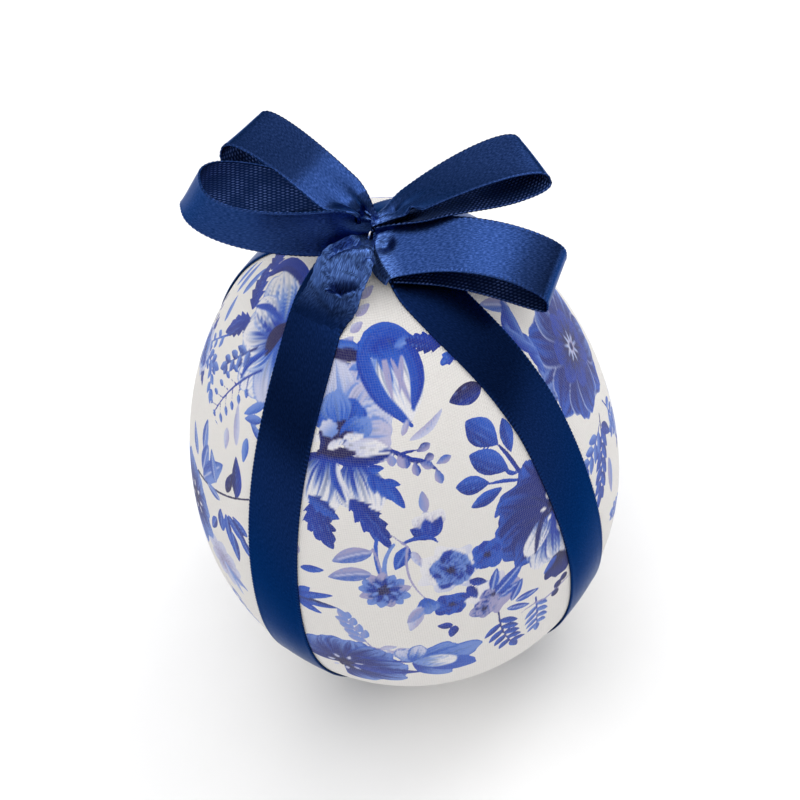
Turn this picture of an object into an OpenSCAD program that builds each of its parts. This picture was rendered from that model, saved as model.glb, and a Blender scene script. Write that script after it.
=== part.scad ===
// Fabric-covered foam egg, wrapped crosswise in satin ribbon, with a
// four-loop ribbon bow wired to its top. Millimetres, +Z up along the egg's
// axis, origin at the centre of the flat face that the egg stands on, front
// towards -Y.

/* [Egg] */
// Width of the egg at its widest, over the cotton
egg_w = 76; // [60:1:100]
// Height from the widest section to the pole, over the cotton
egg_top_h = 61.5; // [50:0.5:80]
// Height from the widest section to the blunt end, before it is flattened
egg_bottom_h = 43; // [34:0.5:60]
// How pointed the upper half is (1 is an ellipse)
egg_point = 1.11; // [1:0.01:1.3]
// Radius of the flat that is pressed into the blunt end
flat_r = 9; // [7:0.5:11]

/* [Cotton covering] */
// Thickness of the printed cotton
cotton_t = 0.4; // [0.3:0.1:0.6]
// Width of each groove scored into the foam
groove_w = 1.1; // [1:0.1:1.6]
// Depth of each groove, which the cotton's edges are tucked into
groove_d = 4; // [2:0.5:6]

/* [Ribbon] */
// Width of the satin ribbon
ribbon_w = 10; // [6:0.5:12]
// Thickness of the satin ribbon
ribbon_t = 0.4; // [0.3:0.1:0.5]

/* [Bow] */
// Thickness of the folded ribbon in the bow's loops
loop_t = 0.5; // [0.3:0.1:0.7]
// Length of the gathered centre of the bow
gather_l = 6; // [5:0.5:8]
// Radius of the gathered centre at its two ends
gather_r = 3.6; // [3.2:0.1:4]
// Radius of the gathered centre under the wire
gather_waist_r = 2.8; // [2.4:0.1:3]
// Diameter of the tie wire
wire_d = 0.6; // [0.4:0.1:0.8]

/* [Hidden] */
$fn = 96;

cotton_colour = "ghostwhite";
ribbon_colour = "midnightblue";
ribbon_light = "royalblue";

// Foam surface: half-widths and heights under one thickness of cotton
foam_r = egg_w / 2 - cotton_t;
foam_top_h = egg_top_h - cotton_t;
foam_bottom_h = egg_bottom_h - cotton_t;
// Angle at which the flat cuts the blunt end, and the height it takes off
flat_angle = acos(flat_r / foam_r);
flat_cut = foam_bottom_h * (1 - sin(flat_angle));
// The flat of the foam stands on the cotton and on two crossing ribbons
foam_flat_z = cotton_t + 2 * ribbon_t;
mid_z = foam_flat_z + foam_bottom_h - flat_cut;
// Offsets from the foam of each layer's outer face
cotton_out = cotton_t;
ribbon_out = cotton_out + ribbon_t;
crossing_out = ribbon_out + ribbon_t;
pole_z = mid_z + foam_top_h;
profile_step = 4;
big = 3 * egg_w;

// Where the two ribbons cross, the upper one laps past the lower one
crossing_clear = 0.2;
crossing_lap = 0.8;
// Each tucked edge lies against one wall of its groove
tuck_t = 0.35;
tuck_wall_clear = 0.1;
tuck_end_clear = 0.3;

// Centre of the bow's gather, which is bedded on the crossed ribbons
gather_sink = 0.1;
gather_z = pole_z + crossing_out + gather_r - gather_sink;
loop_rings = 36;
// Room left where one loop lies against another
loop_clear = 0.6;

// Fold in the under ribbon's end: its distance from the axis and its radii
fold_reach = 7.8;
fold_r = 2.1;
fold_l = 6;

// Point of the foam's outline at angle u above the widest section
function foam_point(u) =
    u >= 0 ? [foam_r * pow(cos(u), egg_point), mid_z + foam_top_h * sin(u)]
           : [foam_r * cos(u), mid_z + foam_bottom_h * sin(u)];
// Outward direction of the outline there
function outline_normal(u) =
    let (s = foam_point(u + 0.5) - foam_point(u - 0.5))
    [s[1], -s[0]] / norm(s);
// Whole outline, moved outward by an offset d
function egg_outline(d) = concat(
    [[0, foam_flat_z - d], [flat_r, foam_flat_z - d]],
    [for (u = [profile_step - flat_angle : profile_step : 90 - profile_step])
        foam_point(u) + d * outline_normal(u)],
    [[0, pole_z + d]]);

module egg(d) {
    rotate_extrude() polygon(egg_outline(d));
}

// Shell between two offsets from the foam
module layer(inner, outer) {
    difference() {
        egg(outer);
        egg(inner);
    }
}

// Upright slab through the axis, turned by angle a
module slab(w, a) {
    rotate([0, 0, a]) cube([w, big, big], center = true);
}

module foam_core() {
    color("white") difference() {
        egg(0);
        for (a = [-45, 45]) intersection() {
            layer(-groove_d, 1);
            slab(groove_w, a);
        }
    }
}

// Quarter wedge whose middle points at azimuth a from the front, with its
// two faces kept a gap away from the planes of the grooves
module quarter(a, gap) {
    rotate([0, 0, a - 45]) translate([gap, -big - gap, -big / 2])
        cube([big, big, big]);
}

// One cotton gore with its two edges tucked into the grooves beside it
module cotton_gore(a) {
    inner_gap = groove_w / 2 - tuck_wall_clear - tuck_t;
    outer_gap = groove_w / 2 - tuck_wall_clear;
    color(cotton_colour) union() {
        intersection() {
            layer(0, cotton_out);
            quarter(a, inner_gap);
        }
        intersection() {
            layer(tuck_end_clear - groove_d, cotton_out);
            difference() {
                quarter(a, inner_gap);
                quarter(a, outer_gap);
            }
        }
    }
}

module cotton_front() { cotton_gore(0); }
module cotton_right() { cotton_gore(90); }
module cotton_back() { cotton_gore(180); }
module cotton_left() { cotton_gore(-90); }

module wrap_ribbon_under() {
    color(ribbon_colour) intersection() {
        layer(cotton_out, ribbon_out);
        slab(ribbon_w, -45);
    }
}

module wrap_ribbon_over() {
    bridge_w = ribbon_w + 2 * crossing_clear;
    color(ribbon_colour) union() {
        difference() {
            intersection() {
                layer(cotton_out, ribbon_out);
                slab(ribbon_w, 45);
            }
            slab(bridge_w, -45);
        }
        intersection() {
            layer(ribbon_out, crossing_out);
            slab(ribbon_w, 45);
            slab(bridge_w + 2 * crossing_lap, -45);
        }
    }
}

// Gathered centre of the bow: a waisted roll along X under the wire
module gather_roll() {
    translate([0, 0, gather_z]) rotate([0, 90, 0]) rotate_extrude() polygon([
        [0, -gather_l / 2],
        [gather_r * 0.7, -gather_l / 2],
        [gather_r, -gather_l * 0.38],
        [gather_waist_r, -wire_d / 2],
        [gather_waist_r, wire_d / 2],
        [gather_r, gather_l * 0.38],
        [gather_r * 0.7, gather_l / 2],
        [0, gather_l / 2]]);
}

module bow_gather() {
    color(ribbon_light) difference() {
        gather_roll();
        egg(crossing_out);
    }
}

module wire_ring() {
    translate([0, 0, gather_z]) rotate([0, 90, 0]) rotate_extrude()
        translate([gather_waist_r + wire_d / 2, 0])
            circle(d = wire_d, $fn = 24);
}

module tie_wire() {
    color("silver") wire_ring();
}

// A loop starts at its root beside the gather and leaves it at azimuth az
// (0 is the front, 90 is +X), rising by el. Its strip lies flat when roll is
// 0 and stands on edge at 90. Its two strips are gap apart, blunt says how
// round its end is, arch and sway bend it across and along its face, and
// twist and lean turn its face on the way out.
function loop_dir(az, el) = [sin(az) * cos(el), -cos(az) * cos(el), sin(el)];
function loop_side(az) = [cos(az), sin(az), 0] * sign(sin(az));
function smooth(x) = let (u = min(max(x, 0), 1)) u * u * (3 - 2 * u);
function unit(v) = v / norm(v);
function reach(p, blunt) = 1 - pow(abs(cos(180 * p)), blunt);

module ribbon_loop(root, az, el, roll, len, gap, blunt, arch = 0, sway = 0,
                   twist = 0, lean = 0, pinch = 0.25, start = 0.1, t = loop_t) {
    d = loop_dir(az, el);
    side = loop_side(az);
    up = cross(d, side) * sign(cross(d, side)[2]);
    across = cos(roll) * side + sin(roll) * up;
    face = -sin(roll) * side + cos(roll) * up;
    centre = function (p) let (q = reach(p, blunt))
        root + len * q * d + sway * q * q * across
        + (gap / 2 * sin(360 * p) * sqrt(q) + arch * q * q) * face;
    width_dir = function (p) let (q = reach(p, blunt))
        unit(cos(twist * q) * across + sin(twist * q) * face + lean * q * d);
    ring = function (p) let (
            c = centre(p),
            w = width_dir(p) * ribbon_w / 2
                * (pinch + (1 - pinch) * smooth(3 * reach(p, blunt))),
            n = unit(cross(centre(p + 0.004) - centre(p - 0.004), w)) * t / 2)
        [c + w + n, c + w - n, c - w - n, c - w + n];
    rings = [for (i = [0 : loop_rings])
        ring(start + (1 - 2 * start) * i / loop_rings)];
    sides = [for (i = [0 : loop_rings - 1], k = [0 : 3])
        let (a = 4 * i + k, b = 4 * i + (k + 1) % 4)
        each [[a, b, b + 4], [a, b + 4, a + 4]]];
    last = 4 * loop_rings;
    ends = [[0, 3, 2], [0, 2, 1], [last, last + 1, last + 2], [last, last + 2, last + 3]];
    difference() {
        polyhedron([for (r = rings) each r], concat(sides, ends));
        gather_roll();
        wire_ring();
    }
}

module upper_left_strip(t) {
    ribbon_loop([2.9, -0.2, gather_z - 0.8],
        az = -138, el = 11, roll = -21, len = 28, gap = 7.2, blunt = 2.7,
        arch = 2, sway = -1.2, twist = 12, start = 0.13, t = t);
}

module upper_right_strip(t) {
    ribbon_loop([-0.3, 0.3, gather_z - 0.6],
        az = 108, el = 2, roll = -37, len = 30.7, gap = 5.1, blunt = 2.7,
        arch = -2, sway = -0.7, twist = 38, t = t);
}

module bow_loop_upper_left() {
    color(ribbon_colour) upper_left_strip(loop_t);
}

module bow_loop_lower_left() {
    color(ribbon_colour) difference() {
        ribbon_loop([2.9, 0.2, gather_z - 0.1],
            az = -96, el = 25, roll = 75, len = 30.5, gap = -16, blunt = 2.5,
            arch = -1, twist = 29, lean = -0.05, start = 0.13);
        upper_left_strip(loop_t + 2 * loop_clear);
    }
}

module bow_loop_upper_right() {
    color(ribbon_colour) upper_right_strip(loop_t);
}

module bow_loop_lower_right() {
    color(ribbon_colour) difference() {
        ribbon_loop([-1.1, -3.8, gather_z - 1.8],
            az = 95, el = 1, roll = 11, len = 29, gap = 8, blunt = 3.3,
            arch = -7.6, sway = -9.4, twist = -2, lean = 0.7, pinch = 0.75,
            start = 0.14);
        upper_right_strip(loop_t + 2 * loop_clear);
        egg(crossing_out);
    }
}

// Raised fold across the end of the under ribbon, in front of the gather
module wrap_end_fold() {
    color(ribbon_light) difference() {
        rotate([0, 0, -45]) translate([0, -fold_reach, pole_z + fold_r])
            rotate([0, 90, 0]) difference() {
                cylinder(r = fold_r, h = fold_l, center = true);
                cylinder(r = fold_r - loop_t, h = fold_l + 2, center = true);
            }
        egg(crossing_out);
    }
}

foam_core();
cotton_front();
cotton_right();
cotton_back();
cotton_left();
wrap_ribbon_under();
wrap_ribbon_over();
wrap_end_fold();
bow_loop_upper_left();
bow_loop_lower_left();
bow_loop_upper_right();
bow_loop_lower_right();
bow_gather();
tie_wire();
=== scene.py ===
import math
from types import SimpleNamespace

import bpy
import numpy as np
from mathutils import Matrix, Vector


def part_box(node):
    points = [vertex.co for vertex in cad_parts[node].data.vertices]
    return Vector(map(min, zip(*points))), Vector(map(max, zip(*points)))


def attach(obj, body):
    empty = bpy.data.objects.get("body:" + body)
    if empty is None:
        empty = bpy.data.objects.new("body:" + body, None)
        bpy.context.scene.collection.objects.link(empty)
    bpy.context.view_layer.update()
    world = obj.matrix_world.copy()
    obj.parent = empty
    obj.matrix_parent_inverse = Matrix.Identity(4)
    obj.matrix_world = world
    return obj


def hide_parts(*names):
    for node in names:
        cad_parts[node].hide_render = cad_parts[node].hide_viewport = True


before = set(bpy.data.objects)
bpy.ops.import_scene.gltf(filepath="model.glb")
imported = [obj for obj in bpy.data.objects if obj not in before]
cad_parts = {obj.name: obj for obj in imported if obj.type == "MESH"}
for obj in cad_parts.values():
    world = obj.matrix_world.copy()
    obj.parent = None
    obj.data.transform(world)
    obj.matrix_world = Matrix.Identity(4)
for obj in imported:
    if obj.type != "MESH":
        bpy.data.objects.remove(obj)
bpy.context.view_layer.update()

# A foam egg covered in printed cotton, wrapped crosswise in satin ribbon and topped with a bow.
# Sizes and places are in mm unless a comment says otherwise, and MM turns them into metres. The egg
# stands on z = 0 round the z axis, and its front looks to -y.
MM = 0.001


def box_mm(node):
    """A CAD node's lowest and highest corners in mm."""
    return np.array([list(corner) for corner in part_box(node)]) / MM


# ---------------------------------------------------------------- the egg's outline, in mm
COTTON = box_mm("cotton_right")
EGG_R = COTTON[1][0]
POLE_Z = COTTON[1][2]
FLAT_Z = COTTON[0][2]
TOP_H = 61.5  # from the widest section up to the pole
BOTTOM_H = 43.0  # and down to the end of the lower half, which the flat cuts off
POINT = 1.11  # the upper half is an ellipse's quarter at 1, and more pointed above that
FLAT_R = 9.0
OUTLINE_POINTS = (60, 700, 900)  # on the flat, below the widest section and above it
MID_Z = POLE_Z - TOP_H
GATHER_Z = box_mm("tie_wire").mean(axis=0)[2]
UP = np.array([0.0, 0.0, 1.0])


def outline():
    """The cotton's meridian from the middle of the flat to the pole: radius, height and arc length."""
    on_flat, below, above = OUTLINE_POINTS
    low = -math.acos(FLAT_R / EGG_R)
    u = np.concatenate([np.linspace(low, 0, below, endpoint=False), np.linspace(0, math.pi / 2, above)])
    radius = EGG_R * np.abs(np.cos(u)) ** np.where(u > 0, POINT, 1.0)
    height = MID_Z + np.where(u > 0, TOP_H, BOTTOM_H) * np.sin(u)
    flat = np.linspace(0, FLAT_R, on_flat, endpoint=False)
    radius = np.concatenate([flat, radius])
    height = np.concatenate([np.full(on_flat, FLAT_Z), height])
    height = np.maximum(height, FLAT_Z)
    arc = np.concatenate([[0], np.cumsum(np.hypot(np.diff(radius), np.diff(height)))])
    return radius, height, arc - arc[np.argmax(radius)]


OUT_R, OUT_Z, OUT_S = outline()
S_LOW, S_HIGH = OUT_S[0], OUT_S[-1]


def meridian(s):
    """Radius, height and outward normal (radial, vertical) at arc length s up from the widest section."""
    step = 0.4
    r, z = np.interp(s, OUT_S, OUT_R), np.interp(s, OUT_S, OUT_Z)
    ahead, behind = np.minimum(s + step, S_HIGH), np.maximum(s - step, S_LOW)
    dr = np.interp(ahead, OUT_S, OUT_R) - np.interp(behind, OUT_S, OUT_R)
    dz = np.interp(ahead, OUT_S, OUT_Z) - np.interp(behind, OUT_S, OUT_Z)
    size = np.hypot(dr, dz)
    return r, z, dz / size, -dr / size


def on_egg(az, s, lift=0.0):
    """Points at azimuth az (radians, 0 is the front) and arc length s, lift mm above the cotton."""
    r, z, nr, nz = meridian(s)
    r, z = r + nr * lift, z + nz * lift
    return np.stack([r * np.sin(az), -r * np.cos(az), z], axis=-1)


def level_ways(azimuth):
    """Two level directions for a plane through the axis: outward at that azimuth, and square to it."""
    a = math.radians(azimuth)
    return np.array([math.sin(a), -math.cos(a), 0.0]), np.array([math.cos(a), math.sin(a), 0.0])


def smooth(x):
    """A soft step: 0 below 0, 1 above 1."""
    u = np.clip(x, 0.0, 1.0)
    return u * u * (3 - 2 * u)


# ---------------------------------------------------------------- meshes
def make_mesh(name, points, faces, uv=None, materials=(), face_slots=None):
    """A smooth-shaded mesh object from points in mm, with one flat coordinate in mm for each point."""
    mesh = bpy.data.meshes.new(name)
    mesh.from_pydata((np.asarray(points) * MM).tolist(), [], faces)
    for material in materials:
        mesh.materials.append(material)
    if face_slots is not None:
        mesh.polygons.foreach_set("material_index", np.asarray(face_slots, dtype=np.int32))
    mesh.polygons.foreach_set("use_smooth", np.ones(len(mesh.polygons), dtype=bool))
    if uv is not None:
        layer = mesh.uv_layers.new(name="cloth_mm")
        corner = np.zeros(len(mesh.loops), dtype=np.int32)
        mesh.loops.foreach_get("vertex_index", corner)
        layer.data.foreach_set("uv", np.asarray(uv, dtype=np.float32)[corner].ravel())
    mesh.validate()
    mesh.update()
    piece = bpy.data.objects.new(name, mesh)
    bpy.context.scene.collection.objects.link(piece)
    return piece


def grid_faces(rows, columns, start=0, closed=False):
    """Quads of a grid of points numbered row by row; closed joins the last column to the first."""
    faces = []
    span = columns if closed else columns - 1
    for i in range(rows - 1):
        base = start + i * columns
        for j in range(span):
            k = (j + 1) % columns
            faces.append((base + j, base + k, base + columns + k, base + columns + j))
    return faces


def stand_for(piece, node):
    """Puts a piece into the model: it rides on the egg and replaces a CAD node."""
    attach(piece, "root")
    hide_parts(node)


# ---------------------------------------------------------------- shader nodes
class Nodes:
    """Short names for building a material's nodes."""

    def __init__(self, name):
        self.material = bpy.data.materials.new(name)
        self.material.use_nodes = True
        self.tree = self.material.node_tree
        self.tree.nodes.clear()
        self.out = self.tree.nodes.new("ShaderNodeOutputMaterial")
        self.shader = self.tree.nodes.new("ShaderNodeBsdfPrincipled")
        self.tree.links.new(self.shader.outputs["BSDF"], self.out.inputs["Surface"])

    def add(self, kind, **settings):
        node = self.tree.nodes.new("ShaderNode" + kind)
        for key, value in settings.items():
            setattr(node, key, value)
        return node

    def link(self, source, target):
        self.tree.links.new(source, target)

    def feed(self, socket, value):
        if isinstance(value, (int, float, tuple)):
            socket.default_value = value
        else:
            self.link(value, socket)

    def math(self, operation, a, b=0.0):
        node = self.add("Math", operation=operation)
        for socket, value in zip(node.inputs, (a, b)):
            self.feed(socket, value)
        return node.outputs[0]

    def plus(self, a, b):
        return self.math("ADD", a, b)

    def times(self, a, b):
        return self.math("MULTIPLY", a, b)

    def mix(self, factor, a, b):
        # a colour mix has its factor and its two colours at inputs 0, 6 and 7, and its result at output 2
        node = self.add("Mix", data_type="RGBA")
        self.feed(node.inputs[0], factor)
        self.feed(node.inputs[6], a)
        self.feed(node.inputs[7], b)
        return node.outputs[2]

    def step(self, value, low, high):
        node = self.add("MapRange", interpolation_type="SMOOTHSTEP")
        self.feed(node.inputs[0], value)
        node.inputs[1].default_value = low
        node.inputs[2].default_value = high
        return node.outputs[0]

    def cloth(self, turn=0.0):
        """The flat coordinates in mm, turned by an angle: (across, along)."""
        uv = self.add("UVMap", uv_map="cloth_mm")
        turned = self.add("VectorRotate", rotation_type="Z_AXIS")
        turned.inputs["Angle"].default_value = turn
        self.link(uv.outputs[0], turned.inputs["Vector"])
        parts = self.add("SeparateXYZ")
        self.link(turned.outputs[0], parts.inputs[0])
        return turned.outputs[0], parts.outputs[0], parts.outputs[1]

    def noise(self, vector, scale, detail=2.0, stretch=(1.0, 1.0, 1.0)):
        mapping = self.add("Mapping")
        self.feed(mapping.inputs["Scale"], stretch)
        self.link(vector, mapping.inputs["Vector"])
        node = self.add("TexNoise")
        self.link(mapping.outputs[0], node.inputs["Vector"])
        node.inputs["Scale"].default_value = scale
        node.inputs["Detail"].default_value = detail
        return node.outputs[0]

    def bump(self, height, strength, distance):
        node = self.add("Bump")
        node.inputs["Strength"].default_value = strength
        node.inputs["Distance"].default_value = distance
        self.link(height, node.inputs["Height"])
        self.link(node.outputs[0], self.shader.inputs["Normal"])

    def set(self, **sockets):
        names = {"colour": "Base Color", "rough": "Roughness", "metal": "Metallic",
                 "specular": "Specular IOR Level", "anisotropic": "Anisotropic",
                 "sheen": "Sheen Weight", "sheen_rough": "Sheen Roughness"}
        for key, value in sockets.items():
            self.feed(self.shader.inputs[names[key]], value)


def linear(display):
    """Display values from 0 to 1 as the linear values that shaders use."""
    return np.where(display <= 0.04045, display / 12.92, ((display + 0.055) / 1.055) ** 2.4)


def ink(red, green, blue):
    """A colour given as 0 to 255 display values, as values from 0 to 1."""
    return np.array([red, green, blue]) / 255.0


def rgba(red, green, blue):
    return tuple(float(v) for v in linear(ink(red, green, blue))) + (1.0,)


# ---------------------------------------------------------------- materials
WEAVE_MM = 0.41
COTTON_RELIEF = 0.00009  # depth of the bump in metres, as are the others
SATIN_RELIEF = 0.00008
WIRE_RELIEF = 0.00003
FOAM_RELIEF = 0.0002


def cotton_material():
    """Plain-woven printed cotton; the print's colours and edges come from the mesh's attributes."""
    n = Nodes("printed_cotton")
    vector, across, along = n.cloth()
    ink_colour = n.add("Attribute", attribute_name="print_colour")
    ink_edge = n.add("Attribute", attribute_name="print_edge")
    # the ink runs a little into the threads at its edges
    wobble = n.times(n.math("SUBTRACT", n.noise(vector, 1.6, 3.0), 0.5), 0.22)
    printed = n.step(n.plus(ink_edge.outputs["Fac"], wobble), -0.05, 0.06)
    slub = n.noise(vector, 0.9, 3.0, (1.0, 7.0, 1.0))
    slub_up = n.noise(vector, 0.9, 3.0, (7.0, 1.0, 1.0))
    ground = n.mix(slub, rgba(226, 222, 219), rgba(247, 244, 240))
    ground = n.mix(n.times(slub_up, 0.6), ground, rgba(238, 235, 233))
    # over and under threads of a plain weave
    wave_x = n.math("SINE", n.times(across, math.pi / WEAVE_MM))
    wave_y = n.math("SINE", n.times(along, math.pi / WEAVE_MM))
    weave = n.times(wave_x, wave_y)
    hollow = n.step(n.math("MINIMUM", n.math("ABSOLUTE", wave_x), n.math("ABSOLUTE", wave_y)), 0.0, 0.35)
    threads = n.plus(n.times(slub, 0.5), n.times(slub_up, 0.5))
    # the ink is thin in the hollows and on the thickest threads
    thin = n.plus(n.math("SUBTRACT", 1.0, hollow), n.step(threads, 0.45, 0.75))
    worn = n.mix(n.times(thin, 0.1), ink_colour.outputs["Color"], rgba(205, 208, 230))
    colour = n.mix(printed, ground, worn)
    # the colour is darkened in the gaps between the threads: painted shade
    shade = n.plus(0.87, n.times(hollow, 0.13))
    dim = n.add("VectorMath", operation="SCALE")
    n.link(colour, dim.inputs[0])
    n.link(shade, dim.inputs["Scale"])
    n.set(colour=dim.outputs[0], rough=0.82, specular=0.25, sheen=0.18, sheen_rough=0.5)
    height = n.plus(n.times(weave, 0.35), n.plus(hollow, n.times(slub, 1.2)))
    n.bump(height, 0.7, COTTON_RELIEF)
    return n.material


# How much light the satin reflects, as linear colours: at its dullest, at its brightest, and its tint
# at glancing angles. The bands round the egg take a darker copy of it, which is painted shade.
SATIN_DULL = (0.0022, 0.013, 0.062, 1.0)
SATIN_BRIGHT = (0.034, 0.072, 0.235, 1.0)
SATIN_EDGE = (0.46, 0.55, 0.82, 1.0)
BAND_DULL_SHADED = (0.0016, 0.009, 0.045, 1.0)
BAND_BRIGHT_SHADED = (0.008, 0.025, 0.108, 1.0)
RIBBON_W = 10.0
RIBBON_T = 0.32
PICOT_MM = 0.8
PICOTS_FROM = (4.35, 4.6)  # mm from the ribbon's middle, where the picots' shine grows
PICOTS_TO = (4.9, 5.0)  # and where it ends
FLOAT_SLANT = 0.3  # radians that the floats lean from the ribbon's length


def picot_shine(n, across, along):
    """Bright dashes on the small loops along both edges."""
    far = n.math("ABSOLUTE", across)
    edge = n.times(n.step(far, *PICOTS_FROM), n.math("SUBTRACT", 1.0, n.step(far, *PICOTS_TO)))
    beat = n.math("SINE", n.times(along, 2 * math.pi / PICOT_MM))
    return n.times(n.times(edge, 0.75), n.step(beat, -0.2, 0.8))


def satin_material(name="satin_face", crush_and_glint_span=None, dull=SATIN_DULL, glossy=SATIN_BRIGHT, relief=0.17):
    """The smooth face of navy satin ribbon: long floats along it, and small loops at its edges.

    Between the two distances in its second argument, in mm along the ribbon, it grows crushed, with a
    paler colour there that paints in glints.
    """
    n = Nodes(name)
    _, across, along = n.cloth()
    slanted = n.cloth(FLOAT_SLANT)[0]
    floats = n.noise(slanted, 1.0, 3.0, (5.4, 1.0, 1.0))
    glint = n.step(n.noise(slanted, 1.0, 2.0, (6.2, 1.7, 1.0)), 0.38, 0.70)
    dash = picot_shine(n, across, along)
    shine = n.plus(n.times(glint, 0.6), n.times(floats, 0.4))
    colour = n.mix(n.math("MAXIMUM", shine, dash), dull, glossy)
    rough = n.plus(0.22, n.times(floats, 0.14))
    n.set(colour=colour, rough=rough, metal=1.0, anisotropic=0.5)
    n.shader.inputs["Specular Tint"].default_value = SATIN_EDGE
    tangent = n.add("Tangent", direction_type="UV_MAP", uv_map="cloth_mm")
    n.link(tangent.outputs[0], n.shader.inputs["Tangent"])
    height = n.plus(n.times(glint, 0.7), dash)
    if crush_and_glint_span:
        crush_and_painted_glint = n.step(along, *crush_and_glint_span)
        # painted glints: the crushed part turns a paler blue and less metal, so it looks lit
        bright = n.mix(shine, rgba(10, 28, 80), rgba(104, 144, 224))
        metal = n.math("SUBTRACT", 1.0, n.times(crush_and_painted_glint, 0.2))
        n.set(colour=n.mix(crush_and_painted_glint, colour, bright), metal=metal)
        height = n.times(height, n.plus(1.0, n.times(crush_and_painted_glint, 3.5)))
    n.bump(height, relief, SATIN_RELIEF)
    return n.material


STITCH_ROWS_MM = 0.56  # between the rows of stitches
STITCH_MM = 0.74  # from stitch to stitch along a row


def satin_back_material():
    """The dull face of the ribbon, where the binding threads show as rows of short bright stitches."""
    n = Nodes("satin_back")
    vector, across, along = n.cloth()
    row = n.math("SINE", n.times(across, 2 * math.pi / STITCH_ROWS_MM))
    slant = n.plus(along, across)
    stitch = n.math("SINE", n.times(slant, 2 * math.pi / STITCH_MM))
    dots = n.times(n.step(row, -0.3, 0.5), n.step(stitch, -0.4, 0.5))
    mottle = n.noise(vector, 0.9, 3.0)
    lively = n.step(n.noise(vector, 0.22, 2.0), 0.38, 0.62)
    bright = n.times(dots, n.plus(0.25, n.times(lively, 0.6)))
    colour = n.mix(bright, SATIN_DULL, rgba(92, 114, 176))
    n.set(colour=colour, rough=0.42, metal=0.9)
    n.shader.inputs["Specular Tint"].default_value = SATIN_EDGE
    n.bump(n.plus(dots, n.times(mottle, 0.4)), 0.5, SATIN_RELIEF)
    return n.material


def wire_material():
    """Thin silvery wire, drawn a little unevenly."""
    n = Nodes("bright_wire")
    place = n.add("TexCoord")
    grain = n.noise(place.outputs["Object"], 900.0, 3.0)
    n.set(colour=n.mix(grain, rgba(190, 190, 194), rgba(232, 232, 235)), metal=1.0,
          rough=n.plus(0.16, n.times(grain, 0.16)))
    n.bump(grain, 0.15, WIRE_RELIEF)
    return n.material


def foam_material():
    """Expanded foam: packed beads with fine seams between them."""
    n = Nodes("expanded_foam")
    place = n.add("TexCoord")
    beads = n.add("TexVoronoi", feature="DISTANCE_TO_EDGE")
    n.link(place.outputs["Object"], beads.inputs["Vector"])
    beads.inputs["Scale"].default_value = 420.0
    seam = n.step(beads.outputs[0], 0.0, 0.12)
    n.set(colour=n.mix(seam, rgba(215, 216, 218), rgba(243, 243, 241)), rough=0.75, specular=0.3)
    n.bump(seam, 0.5, FOAM_RELIEF)
    return n.material


def floor_material():
    """A plain pale floor, very slightly uneven."""
    n = Nodes("pale_floor")
    place = n.add("TexCoord")
    grain = n.noise(place.outputs["Object"], 60.0, 4.0)
    n.set(colour=n.mix(grain, rgba(244, 244, 244), rgba(248, 248, 248)), rough=0.7, specular=0.2)
    return n.material


# ---------------------------------------------------------------- camera, floor and light
def link_object(name, data):
    """A new object in the scene."""
    made = bpy.data.objects.new(name, data)
    bpy.context.scene.collection.objects.link(made)
    return made


LENS_MM, SENSOR_MM = 104.4, 36.0
CAMERA_PLACE = (-0.0061, -0.2357, 0.3864)  # in metres
CAMERA_RIGHT = (0.9778, -0.1790, -0.1088)
CAMERA_UP = (0.2087, 0.7883, 0.5788)
CAMERA_BACK = (-0.0178, -0.5887, 0.8082)


def add_camera():
    """A long lens in front of the egg, looking down by 54 degrees and rolled by about 11."""
    data = bpy.data.cameras.new("camera")
    data.lens = LENS_MM
    data.sensor_width = SENSOR_MM
    data.clip_start, data.clip_end = 0.01, 10.0
    camera = link_object("camera", data)
    rows = [list(row) for row in zip(CAMERA_RIGHT, CAMERA_UP, CAMERA_BACK, CAMERA_PLACE)]
    camera.matrix_world = Matrix(rows + [[0, 0, 0, 1]])
    bpy.context.scene.camera = camera


def aim(thing, place, target):
    """Puts a lamp at place, looking to target."""
    thing.location = place
    thing.rotation_mode = "QUATERNION"
    thing.rotation_quaternion = (Vector(target) - Vector(place)).to_track_quat("-Z", "Y")


LAMP_TARGET = (0.0, 0.0, 0.06)  # in metres


def area_light(name, place, size, power):
    """A rectangular lamp, with its place and sides in metres and its power in watts."""
    data = bpy.data.lights.new(name, "AREA")
    data.shape = "RECTANGLE"
    data.size, data.size_y = size
    data.energy = power
    aim(link_object(name, data), place, LAMP_TARGET)


SKY_HEIGHTS = (-0.1, 0.95)  # from just under the horizon to nearly straight up
SKY_LIGHT = (0.28, 1.06)  # and how bright the sky is there


def studio_world():
    """Soft white light from above that fades towards the horizon."""
    world = bpy.data.worlds.new("studio")
    world.use_nodes = True
    nodes, links = world.node_tree.nodes, world.node_tree.links
    place = nodes.new("ShaderNodeTexCoord")
    parts = nodes.new("ShaderNodeSeparateXYZ")
    height = nodes.new("ShaderNodeMapRange")
    height.interpolation_type = "SMOOTHSTEP"
    for socket, value in zip(height.inputs[1:5], SKY_HEIGHTS + SKY_LIGHT):
        socket.default_value = value
    links.new(place.outputs["Generated"], parts.inputs[0])
    links.new(parts.outputs["Z"], height.inputs[0])
    links.new(height.outputs[0], nodes["Background"].inputs["Strength"])
    nodes["Background"].inputs["Color"].default_value = (1.0, 1.0, 1.0, 1.0)
    bpy.context.scene.world = world


FLOOR_HALF = 1.5  # metres from the egg to the floor's edges


def add_studio():
    """A pale floor, a soft sky and large lamps overhead and behind to the right."""
    bpy.context.scene.view_settings.view_transform = "Standard"
    studio_world()
    area_light("overhead", (-0.10, 0.05, 0.95), (1.1, 0.9), 3.4)
    area_light("key", (0.50, 0.20, 0.86), (0.34, 0.34), 1.0)
    area_light("back_right", (0.56, 0.46, 0.55), (0.40, 0.40), 0.9)
    half = FLOOR_HALF
    corners = np.array([(-half, -half, 0), (half, -half, 0), (half, half, 0), (-half, half, 0)]) / MM
    floor = make_mesh("floor", corners, [(0, 1, 2, 3)], materials=[floor_material()])


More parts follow.
